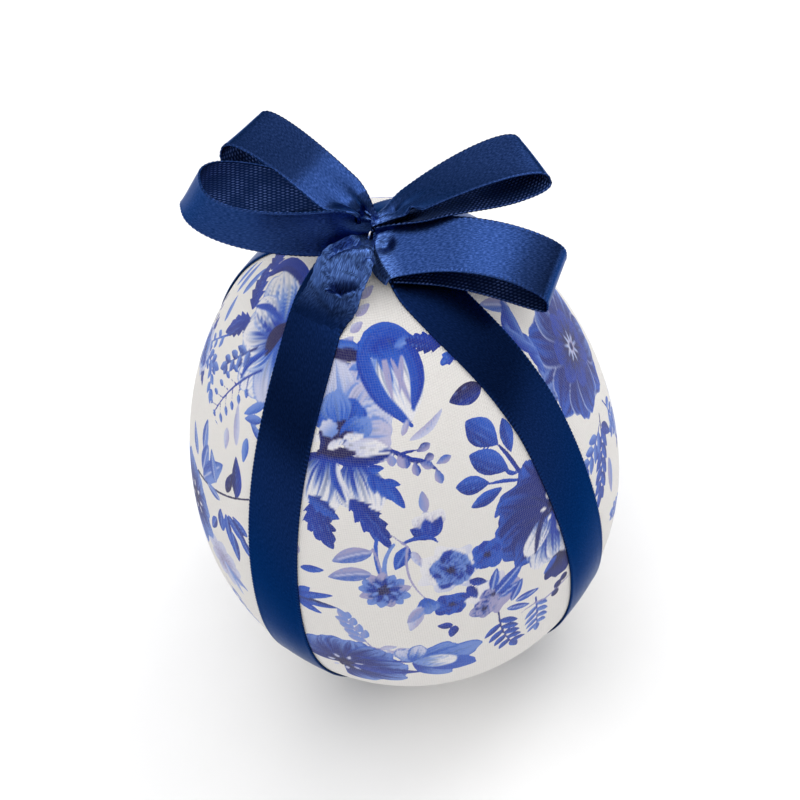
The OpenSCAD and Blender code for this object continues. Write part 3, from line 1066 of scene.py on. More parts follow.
def petal(patch, turn, length, width, base=BLUE, tip=PALE, x=0.0, y=0.0, full=1.6, seed=1.0, rim=None,
          streaky=1.0, reach=0.45, notch=0.05):
    """A rounded petal from the flower's middle, streaked from its base colour to its tip colour.

    full says how near the tip it is widest, reach how far up the base colour goes, and notch how wavy
    the tip is.
    """
    along, across = patch.along(x, y, turn)
    t = np.clip(along / length, 0.0, 1.0)
    wave = 1 + notch * np.sin(across * 0.9 + 5 * seed) + 0.25 * notch * np.sin(across * 2.6 + seed)
    t_edge = np.clip(along / (length * wave), 0.0, 1.0)
    half = width / 2 * np.sqrt(np.sin(math.pi * t_edge ** full) + 1e-9)
    half = half * (1 + 0.06 * np.sin(9 * t + 3 * seed))
    inside = np.minimum(half - np.abs(across), THICK) - np.abs(along - t_edge * length * wave)
    fan = across / np.maximum(half, 0.6)
    streak = grain(fan * 7.0 + seed, t * 2.0, seed)
    fine = grain(fan * 15.0, t * 4.0, seed + 2)
    level = t + streaky * 0.5 * (streak - 0.5) + 0.22 * (fine - 0.5)
    colour = blend_colours(base, tip, smooth((level - reach + 0.3) / 0.6))
    deep = blend_colours(colour, base * 0.72, smooth((streak - 0.62) / 0.3) * (1 - t) * 0.9)
    if rim is not None:
        deep = blend_colours(deep, rim, smooth((0.5 - inside) / 0.4) * 0.8 * smooth(t * 1.5))
    patch.lay(inside, deep)


def stem(patch, turn, length, width=0.45, colour=BLUE, x=0.0, y=0.0, bend=0.0):
    """A thin stalk that tapers to its tip."""
    along, across = patch.along(x, y, turn)
    t = np.clip(along / length, 0.0, 1.0)
    across = across - bend * 4 * t * (1 - t)
    inside = width / 2 * (1 - 0.35 * t) - np.hypot(across, along - t * length)
    patch.lay(inside, colour, 0.1)


def stroke(patch, knots, width, dark=ROYAL, light=BLUE, seed=1.0, widest=1.0):
    """A tapered brush stroke along a smooth line through a few points."""
    knots = np.array(knots, dtype=float)
    ends = np.vstack([2 * knots[0] - knots[1], knots, 2 * knots[-1] - knots[-2]])
    path = [knots[0]]
    for p0, p1, p2, p3 in zip(ends, ends[1:], ends[2:], ends[3:]):
        for u in (0.25, 0.5, 0.75, 1.0):
            path.append(0.5 * (2 * p1 + (p2 - p0) * u + (2 * p0 - 5 * p1 + 4 * p2 - p3) * u ** 2
                               + (3 * p1 - p0 - 3 * p2 + p3) * u ** 3))
    path = np.array(path)
    steps = np.hypot(*np.diff(path, axis=0).T)
    total, gone = steps.sum(), 0.0
    far, share, side = np.full(len(patch.x), 1e9), np.zeros(len(patch.x)), np.zeros(len(patch.x))
    for (ax, ay), (bx, by), step in zip(path, path[1:], steps):
        dx, dy = (bx - ax) / step, (by - ay) / step
        u = np.clip((patch.x - ax) * dx + (patch.y - ay) * dy, 0, step)
        off = np.hypot(patch.x - ax - u * dx, patch.y - ay - u * dy)
        nearer = off < far
        far = np.where(nearer, off, far)
        share = np.where(nearer, (gone + u) / total, share)
        side = np.where(nearer, (patch.x - ax) * dy - (patch.y - ay) * dx, side)
        gone += step
    half = width / 2 * np.sqrt(np.sin(math.pi * np.clip(share, 0.03, 0.97) ** widest))
    streak = grain(side * 4.0, share * 3.0, seed)
    patch.lay(half - far, blend_colours(dark, light, 0.35 + side / width + 0.6 * (streak - 0.5)))


def spot(patch, x, y, radius, colour=ROYAL, light=None, ruffle=0.0, seed=1.0):
    """A round bud or berry, lighter at its upper left if a light colour is given."""
    dx, dy = patch.x - x, patch.y - y
    far, turn = np.hypot(dx, dy), np.arctan2(dx, dy)
    edge = radius * (1 + ruffle * np.sin(7 * turn + seed) + 0.5 * ruffle * np.sin(11 * turn + 2 * seed))
    shade = np.broadcast_to(colour, (len(dx), 3))
    if light is not None:
        shade = blend_colours(colour, light, smooth(0.5 - (dx - dy) / (2.4 * radius)))
    patch.lay(edge - far, shade)


def along_stem(turn, length, t, bend=0.0, x=0.0, y=0.0):
    """The point at share t of a stem, and the direction there."""
    a = math.radians(turn)
    u, v = length * t, bend * 4 * t * (1 - t)
    slope = math.degrees(math.atan2(bend * 4 * (1 - 2 * t), length))
    return x + u * math.sin(a) + v * math.cos(a), y + u * math.cos(a) - v * math.sin(a), turn + slope


def sprig(patch, turn, length, leaves=7, size=2.6, width=1.2, dark=ROYAL, light=SKY, spread=42, bend=0.0,
          seed=1.0, berries=False):
    """A stem with leaves, or berries on short stalks, to both sides, and a leaf at its tip."""
    stem(patch, turn, length, 0.4, dark, bend=bend)
    first, last = 0.2, 0.96
    for i in range(leaves):
        t = first + (last - first) * i / (leaves - 1)
        px, py, way = along_stem(turn, length, t, bend)
        side = 1 if i % 2 else -1
        grow = size * (1.0 - 0.35 * t) * (0.88 + 0.24 * grain(np.array(3.1 * i), np.array(1.0), seed))
        out = way + side * spread
        if berries:
            qx, qy, _ = along_stem(out, grow, 1.0, 0.0, px, py)
            stem(patch, out, grow, 0.28, dark, px, py)
            leaf(patch, out + 12 * side, width * 1.35, width * 0.8, dark, light, qx, qy, seed=seed + i)
        else:
            leaf(patch, out, float(grow), width, dark, light, px, py, 0.1 * side, seed=seed + i)
    px, py, way = along_stem(turn, length, 0.97, bend)
    leaf(patch, way, size * 0.8, width, dark, light, px, py, seed=seed)


def rosette(patch, x, y, radius, dark=DEEP, mid=ROYAL, light=SKY, seed=1.0):
    """A small round bloom: rows of ruffled petals round a dark heart."""
    for share, count, turn in ((1.0, 9, 0.0), (0.74, 7, 21.0), (0.5, 5, 8.0)):
        for i in range(count):
            way = turn + 40 * seed + 360.0 * i / count + 9 * math.sin(3.7 * i + seed)
            size = radius * share * (1 + 0.1 * math.sin(5.1 * i + 2 * seed))
            petal(patch, way, size, 0.8 * size, dark if i % 2 else mid, mid if i % 2 else light, x, y,
                  seed=seed + 1.9 * i, rim=light, reach=0.55, notch=0.08, streaky=1.6)
    spot(patch, x, y, radius * 0.2, NIGHT, None, 0.15, seed)


def heart(patch, x, y, radius, rays=9, pistils=WHITE, seed=1.0):
    """The dark middle of an open flower with pale stamens in it."""
    spot(patch, x, y, radius * 0.62, NIGHT, None, 0.2, seed)
    for i in range(rays):
        way = 360.0 * (i + 0.3 * math.sin(3 * i + seed)) / rays
        size = radius * (1.0 + 0.45 * math.sin(5 * i + seed))
        leaf(patch, way, size, 0.95, NIGHT, NIGHT, x, y, seed=seed + i)
    for i in range(rays - 2):
        way = 360.0 * (i + 0.5) / (rays - 2)
        px, py, _ = along_stem(way, radius * 0.8, 1.0, 0.0, x, y)
        leaf(patch, way + 20 * math.sin(i + seed), 1.5, 0.75, pistils, pistils, px, py, seed=seed)


ACROSS, UPWARD, TURN = 0, 1, 2


def leaves(ground, rows, dark, light, wide=None, seeded=None, **more):
    """Leaves from rows of (across, upward, turn, length), and a width unless all share the one given.

    On a Print, across is an azimuth and upward an arc length; on a Patch they are mm from its middle.
    seeded says which value of a row, if any, seeds its leaf's streaks.
    """
    for row in rows:
        across, upward, turn, length = row[:4]
        width = wide or row[4]
        seed = 1.0 if seeded is None else row[seeded]
        if isinstance(ground, Print):
            leaf(Patch(ground, across, upward), turn, length, width, dark, light, seed=seed, **more)
        else:
            leaf(ground, turn, length, width, dark, light, across, upward, seed=seed, **more)


def petals(patch, rows, seed_share=0.1, x=0.0, y=0.0, **more):
    """Petals from rows of (turn, length, width, base colour, tip colour), seeded by their turns."""
    for turn, length, width, base, tip in rows:
        petal(patch, turn, length, width, base, tip, x, y, seed=turn * seed_share, **more)


def flower(patch, rows, seed, reach, pistils=WHITE):
    """An open flower from rows of (turn, length, width), the first petals lying under the later ones."""
    for i, (turn, length, width) in enumerate(rows):
        petal(patch, turn, length, width, DEEP, SKY, seed=seed + 1.3 * i, rim=BLUE, reach=reach)
    heart(patch, 0.0, 0.0, 2.4, 9, pistils, seed)


def bell(patch):
    """A hanging bud: pale inside, between two long blue outer petals that meet in a broad head."""
    petal(patch, 165, 13.0, 8.6, SKY, WHITE, 2.6, 1.6, full=1.0, seed=1.4, reach=0.3, streaky=1.6)
    for turn, size, wide, dark, x, y in (
            (158, 6.4, 1.5, BLUE, 1.2, 0.8), (172, 8.4, 1.1, LILAC, 2.2, 0.2),
            (180, 5.4, 1.2, BLUE, 4.6, 0.8), (164, 5.0, 1.4, BLUE, 3.0, 0.8),
            (160, 9.0, 0.9, LILAC, 3.4, -1.0), (186, 6.4, 0.9, LILAC, 5.2, -0.6)):
        leaf(patch, turn, size, wide, dark, dark, x, y, seed=turn)
    petal(patch, 166, 4.4, 8.0, ROYAL, BLUE, 2.7, 3.0, full=1.0, seed=3.0, reach=0.6)
    left = ((-1.0, 1.2), (-0.5, -3.0), (1.5, -7.4), (3.9, -10.0), (6.0, -12.2))
    stroke(patch, left, 2.7, BLUE, ROYAL, 2.0, 0.7)
    stroke(patch, ((4.6, 2.2), (6.8, -1.2), (7.4, -5.0), (6.5, -9.4)), 2.5, ROYAL, BLUE, 4.0, 0.8)
    stroke(patch, ((-1.2, -0.8), (0.4, 2.2), (3.2, 3.2), (6.8, 1.9)), 2.8, BLUE, ROYAL, 5.0)


def open_bloom(patch):
    """The largest bloom: pale ragged upper petals, a dark heart, and two blue petals hanging below."""
    upper = ((-32, 12.5, 10.5, BLUE, MAUVE), (10, 12.8, 10.5, BLUE, MAUVE), (-8, 12, 7, SKY, PALE),
             (32, 10.8, 8.0, SKY, MAUVE), (62, 9.0, 8.0, SKY, PALE), (84, 8.6, 6.5, SKY, MAUVE))
    petals(patch, upper, 0.13, reach=0.55, streaky=1.8)
    petal(patch, 22, 6.8, 5.0, ROYAL, BLUE, seed=2.0, reach=0.5, streaky=1.6)
    petal(patch, -12, 7.5, 5.0, BLUE, SKY, seed=5.0, reach=0.5, streaky=1.6)
    petal(patch, 58, 5.4, 4.0, BLUE, SKY, seed=4.0, reach=0.6)
    petal(patch, 100, 8.2, 4.4, PALE, WHITE, 0.2, -1.1, seed=3.0, rim=LILAC)
    petal(patch, 197, 11.0, 9.4, ROYAL, WHITE, -1.8, -3.0, seed=6.0, reach=0.42, streaky=1.5)
    petal(patch, 166, 10.6, 9.0, ROYAL, WHITE, 2.0, -3.2, seed=8.0, reach=0.42, streaky=1.5)
    stroke(patch, ((-0.4, -4.6), (0.2, -7.6), (1.8, -10.2)), 0.9, WHITE, PALE, 1.0)
    stroke(patch, ((-1.4, -4.8), (-0.6, -8.2), (1.0, -11.4)), 1.0, ROYAL, BLUE, 2.0)
    stroke(patch, ((-6.0, -4.2), (-1.0, -3.9), (3.6, -4.1), (7.8, -2.6)), 2.0, DEEP, ROYAL, 3.0)
    stroke(patch, ((-3.6, -3.6), (-1.6, -1.8), (-0.6, 1.4), (0.6, 2.6)), 1.7, NIGHT, NIGHT, 1.0)
    stroke(patch, ((-3.6, -3.2), (-0.6, -2.9), (2.4, -2.6)), 1.8, NIGHT, NIGHT, 2.0)
    stroke(patch, ((-0.6, -2.0), (0.8, 0.2), (2.0, 1.0)), 1.3, NIGHT, DEEP, 3.0)
    stroke(patch, ((-3.4, 0.4), (-2.6, -1.4), (-3.2, -3.0)), 1.4, NIGHT, DEEP, 4.0)
    spot(patch, -1.9, 1.0, 1.5, SKY, PALE, 0.08)
    leaf(patch, 78, 3.6, 1.5, PALE, WHITE, 0.5, -0.2)
    leaf(patch, 55, 3.4, 1.5, PALE, WHITE, -2.0, -2.4)
    spot(patch, -4.2, -1.0, 0.8, WHITE, WHITE)


def front_top(paint):
    """The largest bloom and its hanging bud, just under the bow."""
    leaves(paint, ((-20, 67.2, 42, 3.0), (-23, 64.6, 44, 2.6), (-27, 62.2, 40, 2.4), (-17, 70, 40, 3)),
           PALE, LILAC, 1.5)
    open_bloom(Patch(paint, -23.9, 47.8))
    head = Patch(paint, -11, 61.6)
    stroke(head, ((-5.6, 1.4), (-3.4, 1.3), (-1.4, 0.6)), 1.8, BLUE, SKY, 2.0)
    stroke(head, ((-3.0, -2.6), (-1.6, -2.2), (-0.6, -2.0)), 1.4, SKY, BLUE, 3.0)
    stroke(head, ((-6.2, 0.1), (-3.4, -0.3), (-0.6, -0.6)), 2.2, NIGHT, NIGHT)
    bell(head)
    leaf(Patch(paint, -5, 63.4), 60, 3.0, 1.4, BLUE, SKY, 2.6, -1.6)
    leaf(head, -78, 6.0, 3.6, DEEP, ROYAL, 11.6, 0.4, teeth=5, seed=3.0)
    leaf(head, -130, 3.6, 2.4, ROYAL, BLUE, 14.0, -0.6, teeth=3)
    leaves(paint, ((-32.5, 35, 157, 9.6, 5.6),), DEEP, ROYAL, None, ACROSS, bend=0.4, teeth=5)
    leaves(paint, ((-20.5, 36.9, 147, 11.6, 4.6),), DEEP, ROYAL, None, ACROSS, bend=-0.4, teeth=5)
    leaf(Patch(paint, -34, 36), 120, 6.5, 3.0, DEEP, BLUE, teeth=4)


def front_sprays(paint):
    """The twigs of buds and leaves under the hanging bud, and the broad-leaved spray on the right."""
    buds = Patch(paint, -8.4, 45.7)
    stroke(buds, ((-0.6, -0.2), (1.2, -0.4), (4.0, -2.2), (6.4, -3.1), (8.4, -5.2)), 0.9, ROYAL, DEEP)
    stroke(buds, ((2.2, -1.0), (4.0, -0.9), (5.6, -0.9)), 0.5, ROYAL, DEEP)
    for x, y, turn, size, dark in (
            (5.2, -1.2, 62, 2.6, DEEP), (6.2, -2.6, 75, 1.8, DEEP), (8.0, -3.8, 70, 2.8, BLUE),
            (7.9, -4.6, 166, 3.0, BLUE), (4.6, -2.8, 172, 2.6, ROYAL), (5.4, -3.0, 120, 2.6, ROYAL),
            (2.2, -1.2, 164, 2.6, LILAC), (1.0, -0.8, 176, 2.4, SKY), (3.2, -1.8, 176, 2.0, ROYAL)):
        leaf(buds, turn, size, 1.5, dark, LILAC, x, y, seed=x, blunt=1.3)
    low = Patch(paint, -15, 41.3)
    stroke(low, ((0.2, 0.4), (1.6, -0.4), (3.4, -1.6), (5.0, -3.2)), 0.9, ROYAL, BLUE)
    leaves(low, ((0.2, 1.0, 84, 2.8, 1.5), (1.4, -0.6, 150, 4.8, 2.0), (2.6, -1.0, 108, 3.0, 1.4),
                 (3.2, -1.8, 150, 5.4, 1.9), (0.4, 0.0, 166, 3.6, 1.2)), ROYAL, BLUE, None, ACROSS)
    leaf(Patch(paint, 1.2, 46.5), 58, 7.4, 1.5, LILAC, PALE, bend=0.7)
    leaf(Patch(paint, -1.0, 47.5), 30, 3.0, 1.1, PALE, LILAC)
    leaf(Patch(paint, 34.7, 49.4), -78, 6.2, 3.6, ROYAL, NIGHT, bend=-0.2, seed=2.0)
    spray = Patch(paint, 29.9, 30.9)
    stroke(spray, ((1.6, -1.0), (1.0, 3.0), (0.4, 6.0), (-0.3, 8.6)), 0.8, ROYAL, DEEP)
    stroke(spray, ((1.4, -0.6), (-1.6, 1.6), (-4.8, 3.2)), 0.7, ROYAL, BLUE)
    stroke(spray, ((0.9, 1.4), (-0.2, 2.2), (-1.0, 3.6)), 0.8, ROYAL, BLUE)
    leaves(spray, ((-0.2, 8.2, -24, 7.6, 4.9), (-0.3, 3.0, -37, 8.4, 4.4), (-4.2, 3.1, -64, 6.0, 3.5),
                   (-2.4, 0.9, -92, 6.3, 2.6), (-3.0, -1.6, -128, 3.6, 1.3), (1.3, 5.4, 11, 6.4, 2.6)),
           DEEP, BLUE, None, TURN, blunt=1.15)


def front_right_bloom(paint):
    """The dark bloom by the right ribbon, with pale petals to its lower side and a bud under it."""
    big = Patch(paint, 37.7, 21.0)
    dark_ones = ((40, 10, 9), (95, 10, 9), (-10, 11.5, 11), (-50, 12.0, 11), (-92, 11.8, 11.5),
                 (-122, 11.2, 9))
    pale_ones = ((170, 11.5, 8), (-148, 11.8, 7.5), (-168, 12.4, 7.0))
    petals(big, [row + (DEEP, BLUE) for row in dark_ones], streaky=1.3, reach=0.85)
    petals(big, [row + (ROYAL, WHITE) for row in pale_ones], streaky=1.3, reach=0.66)
    petal(big, -128, 8.4, 4.6, ROYAL, WHITE, -0.8, -0.4, full=1.3, seed=4, reach=0.3)
    stroke(big, ((0.0, 1.0), (-3.5, -1.5), (-6.0, -6.5)), 1.2, DEEP, NIGHT, 2.0)
    petal(big, 172, 6.5, 3.2, LILAC, WHITE, 0.6, -1.0, seed=5)
    heart(big, 0.8, 0.2, 2.6, seed=2)
    bud = Patch(paint, 34.5, 10.4)
    petal(bud, -168, 6.0, 5.6, NIGHT, DEEP, full=1.4, seed=2, notch=0.1)
    petal(bud, -186, 6.0, 3.6, NIGHT, DEEP, 0.6, 0, full=1.4, seed=4)
    leaf(bud, -120, 4, 1.4, ROYAL, BLUE, 0, -0.5)


def front_posy(paint):
    """The small shoot and the posy of round blooms in the middle, with its leaves and sprigs."""
    shoot = Patch(paint, 1.0, 27.6)
    leaf(shoot, 2, 4.2, 1.7, SKY, LILAC, 0.2, 5.6)
    for x, y, turn, size, wide in ((0.2, 1.6, -28, 4.2, 2.6), (0.6, 1.4, 24, 4.6, 3.0),
                                   (0.4, 1.2, -4, 4.6, 2.8)):
        petal(shoot, turn, size, wide, LILAC, WHITE, x, y, seed=turn, reach=0.5)
    for turn, size, wide, dark in ((-50, 4.0, 2.3, DEEP), (32, 4.4, 2.4, DEEP), (-4, 4.0, 2.6, ROYAL)):
        leaf(shoot, turn, size, wide, dark, ROYAL, 0.2, 0.4, seed=turn)
    stroke(shoot, ((1.2, -0.8), (0.2, 0.4), (-2.0, 0.9), (-4.6, 0.4)), 0.9, ROYAL, BLUE)
    posy = Patch(paint, 9.5, 15.5)
    spot(posy, -3.2, 4.9, 5.0, PALE, WHITE, 0.12, 2.0)
    for i in range(9):
        petal(posy, i * 40, 4.6, 2.6, LILAC, WHITE, -3.0, 5.0, seed=i)
    rosette(posy, -2.9, 4.6, 3.9, DEEP, ROYAL, SKY, 2.0)
    rosette(posy, 3.6, 5.0, 3.1, ROYAL, ROYAL, BLUE, 4.0)
    rosette(posy, -4.0, -3.6, 3.0, DEEP, ROYAL, BLUE, 1.0)
    spot(posy, 3.4, -5.0, 4.4, LILAC, WHITE, 0.16, 5.0)
    rosette(posy, 1.2, -7.6, 2.5, DEEP, ROYAL, LILAC, 3.0)
    rosette(posy, 3.2, -4.8, 2.3, DEEP, ROYAL, LILAC, 5.0)
    leaves(posy, ((-0.4, 0.8, 123, 3.6), (-0.8, -0.4, 163, 3.8), (-4.6, -9.4, -72, 2.8),
                  (-4.2, -9.6, -160, 3.4)), DEEP, ROYAL, 1.8)
    leaves(Patch(paint, 18, 7.5), (
        (-2.0, 3.0, 56, 7.4, 2.8), (-1.6, 1.6, 72, 5.0, 1.8), (0.5, -1.0, 33, 5.2, 1.8),
        (1.2, -1.6, 97, 5.0, 1.8), (-0.6, -2.4, 119, 5.2, 1.6), (-2.4, 4.4, 20, 5.0, 1.8)),
           ROYAL, BLUE, None, TURN, vein=PALE)
    sprig(Patch(paint, 14.8, 5.0), 172, 11.5, 9, 4.8, 1.6, DEEP, BLUE, 52, 0.6, seed=6.0)
    sprig(Patch(paint, 25.8, 3.4), -178, 9.0, 8, 3.8, 1.3, ROYAL, SKY, 50, seed=3.0)
    twig = Patch(paint, 28.6, 1.0)
    stem(twig, 84, 6.0, 0.5, LILAC)
    stem(twig, -84, 5.0, 0.5, LILAC, bend=0.5)
    for x, y in ((3.0, 1.2), (4.6, 1.8), (2.2, -0.6)):
        spot(twig, x, y, 0.9, NIGHT, DEEP)


def front_left_bloom(paint):
    """The spiky bloom on the left with its stalks, and the leaves round it."""
    spiky = Patch(paint, -13.4, 17.5)
    stem(spiky, -4, 9.5, 1.0, BLUE, 0.5, 2.0, -0.7)
    stem(spiky, 12, 8.5, 0.9, SKY, 0.8, 2.0, -1.0)
    for i in range(13):
        petal(spiky, i * 27.7, 4.4, 2.0, ROYAL, SKY if i % 3 else LILAC, seed=i, full=1.4)
    for i in range(11):
        leaf(spiky, i * 32.7 + 10, 3.2, 1.1, DEEP, ROYAL, seed=i)
    heart(spiky, 0, 0, 1.3, 7, pistils=SKY, seed=2)
    leaves(paint, ((-15.3, 26.4, -112, 7.6), (-16.2, 21.6, -104, 7.8)), BLUE, LILAC, 3.2,
           bend=0.4, vein=PALE)
    stem(Patch(paint, -15.2, 27), 172, 6.8, 0.5, LILAC, bend=-0.4)
    arch = Patch(paint, -5.3, 27.0)
    leaf(arch, -150, 5.4, 2.6, ROYAL, BLUE, vein=SKY)
    leaf(arch, 165, 3.8, 1.5, LILAC, PALE, 0.6, -1.0)
    stem(arch, 172, 12.9, 0.5, LILAC, bend=1.5)
    stem(arch, -40, 3.6, 0.45, LILAC)
    petal(Patch(paint, -3.4, 14.9), 172, 4.8, 3.8, BLUE, SKY, full=1.2, notch=0.15)
    leaf(Patch(paint, -4.8, 13.0), -160, 7.0, 2.6, LILAC, PALE)
    leaf(Patch(paint, -4.0, 12.6), -140, 5.0, 2.0, SKY, LILAC)
    for az, s, turn, size, dark in (
            (-36.3, 20, 77, 4.6, ROYAL), (-37.5, 13.8, 52, 3.0, BLUE), (-38.5, 11.8, 88, 8.0, NIGHT),
            (-38.2, 11.2, 112, 5.0, ROYAL), (-39, 12.5, 70, 8.2, ROYAL)):
        leaf(Patch(paint, az, s), turn, size, 1.7, dark, BLUE)
    spot(Patch(paint, -38.5, 24.0), 0, 0, 1.4, LILAC, PALE)


def front_bottom(paint):
    """The mauve sprigs, the wide open flower and the tulip near the bottom."""
    mauve = Patch(paint, -19.4, 1.5)
    sprig(mauve, -24, 9.0, 8, 3.4, 1.6, LILAC, SKY, 40, seed=5.0)
    sprig(mauve, 108, 8.0, 6, 3.4, 1.4, LILAC, PALE, 34, seed=7.0)
    basin = Patch(paint, -28, -6.3)
    rows = ((-56, 9.5, 8), (-20, 9.6, 8), (14, 9.6, 8.5), (50, 10.5, 7), (150, 9.5, 8), (117, 11.5, 8),
            (84, 11.0, 7.5))
    flower(basin, rows, 6.0, 0.7, PALE)
    leaf(basin, 100, 12.5, 3.0, DEEP, ROYAL, 1.0, -0.5)
    tulip = Patch(paint, -8.0, -3.8)
    stem(tulip, -82, 9.0, 0.7, ROYAL, -1.5, 0)
    rows = ((60, 9.5, 5.0, BLUE, SKY), (140, 9.2, 5.0, ROYAL, SKY), (82, 12.4, 6.0, BLUE, SKY),
            (112, 12.0, 5.6, ROYAL, BLUE), (-20, 5.0, 3.6, SKY, PALE), (20, 6.2, 3.6, BLUE, PALE),
            (98, 8.2, 5.2, SKY, WHITE))
    petals(tulip, rows, x=-1.0, y=-0.2, full=1.3, rim=BLUE)


def front_print(paint):
    """The bouquets on the front gore, from its top to its bottom."""
    for group in (front_top, front_sprays, front_right_bloom, front_posy, front_left_bloom, front_bottom):
        group(paint)


def left_rose(paint):
    """The rose at the top of the left gore, with the leaves round it."""
    rose = Patch(paint, 24.1, 58.8)
    petals(rose, ((-20, 11.0, 8.0, BLUE, SKY), (-52, 11.8, 8.5, BLUE, WHITE), (20, 10.0, 8.0, ROYAL, PALE),
                  (187, 12.8, 7.5, SKY, WHITE), (160, 12.0, 8.0, SKY, PALE), (130, 11.0, 8.0, BLUE, WHITE),
                  (-152, 10.5, 6.0, BLUE, WHITE), (-122, 9.6, 8.5, ROYAL, WHITE),
                  (-84, 8.8, 6.5, ROYAL, WHITE)), rim=SKY, reach=0.5, streaky=1.3)
    stroke(rose, ((-12.0, 4.0), (-9.5, 8.4), (-4.0, 9.4), (0.5, 7.6)), 2.8, ROYAL, DEEP, 3.0)
    stroke(rose, ((-9.0, -0.4), (-5.5, 1.6), (-1.0, 2.0)), 1.3, ROYAL, BLUE, 5.0)
    stroke(rose, ((-0.6, 2.2), (-1.2, -1.0), (-0.8, -4.0)), 2.4, NIGHT, NIGHT, 2.0)
    stroke(rose, ((-1.0, -3.6), (-3.2, -8.0), (-3.4, -11.0)), 1.0, ROYAL, BLUE, 4.0)
    leaves(paint, ((0, 54.8, -156, 8.6), (-4, 55.6, -58, 8.6), (-22, 60, -70, 6.0), (14, 71.5, -60, 5.0)),
           DEEP, ROYAL, 4.2, UPWARD, teeth=5)
    leaves(paint, ((-19, 52, -20, 6.6), (-24, 49, -28, 7.4), (-14, 46, -35, 5.2), (-30, 47, -20, 6.4)),
           BLUE, SKY, 1.7, UPWARD)
    sprig(Patch(paint, -4.5, 48.0), -150, 10.0, 6, 2.6, 1.3, BLUE, SKY, 40, seed=5.0)
    sprig(Patch(paint, 15.4, 53.9), -150, 9.5, 7, 3.2, 1.5, DEEP, SKY, 40, seed=2.0)
    sprig(Patch(paint, 24.4, 52.1), -154, 16.6, 11, 2.6, 1.3, ROYAL, SKY, 50, 0.8, berries=True, seed=3.0)
    sprig(Patch(paint, -6.6, 41.7), 126, 6.5, 5, 3.0, 1.4, BLUE, SKY, 40, seed=3.0)


def left_print(paint):
    """The left gore, whose azimuths are counted from its middle, at -90."""
    left_rose(paint)
    stem(Patch(paint, 11.0, 20.8), 58, 18.5, 0.55, NIGHT, -1.2, -0.4, 1.2)
    leaves(paint, ((11, 27.3, -11, 6.6, 2.6), (12.4, 22.9, 3, 7.0, 3.2), (13.2, 21.6, 30, 10.6, 3.8),
                   (23.5, 22.5, -93, 5.2, 1.8), (20.5, 25, -30, 6.2, 2.4), (7.5, 23.5, -50, 6.0, 2.6)),
           ROYAL, SKY, None, ACROSS, vein=PALE)
    leaf(Patch(paint, 30.5, 27.0), -12, 8.2, 2.6, NIGHT, ROYAL, bend=0.3)
    leaf(Patch(paint, 26.0, 26.0), 8, 5.0, 1.8, DEEP, NIGHT)
    for az, s, turn, size, dark in (
            (33, 48, -141, 6.0, BLUE), (37.4, 41.3, -63, 4.4, ROYAL), (26.3, 36.8, -20, 7.6, LILAC),
            (34, 45, -120, 4.4, ROYAL), (30, 40, 175, 5.0, BLUE), (20, 38, 165, 4.2, LILAC)):
        leaf(Patch(paint, az, s), turn, size, 1.6, dark, SKY if dark is not LILAC else PALE)
    leaves(paint, ((25, 15.4, -7, 5.4, 2.2), (36, 20.1, -64, 4.6, 1.9), (27.6, 21.2, 124, 6.8, 2.4),
                   (26.7, 20.9, 166, 7.2, 2.0), (29.6, 18, 166, 6.8, 2.4), (33, 19, 140, 5.6, 2.0),
                   (22, 17, -160, 5.0, 1.8)), DEEP, BLUE, None, ACROSS, vein=SKY)
    violet = Patch(paint, 24, 6)
    for turn in range(-160, 180, 40):
        petal(violet, turn, 5.4, 3.0, LILAC, PALE, seed=turn)
    leaf(violet, 110, 7.0, 2.0, LILAC, SKY)
    leaf(violet, 140, 7.5, 1.8, SKY, PALE)
    rows = ((-70, 10, 8), (-110, 10, 8), (170, 10, 8), (20, 8, 7), (70, 7, 6), (120, 8, 7), (-25, 9, 7))
    flower(Patch(paint, 7.5, 12.0), rows, 3.0, 0.6)
    sprig(Patch(paint, 22, -1), 150, 9.5, 7, 3.4, 1.4, LILAC, SKY, 40, seed=5.0)


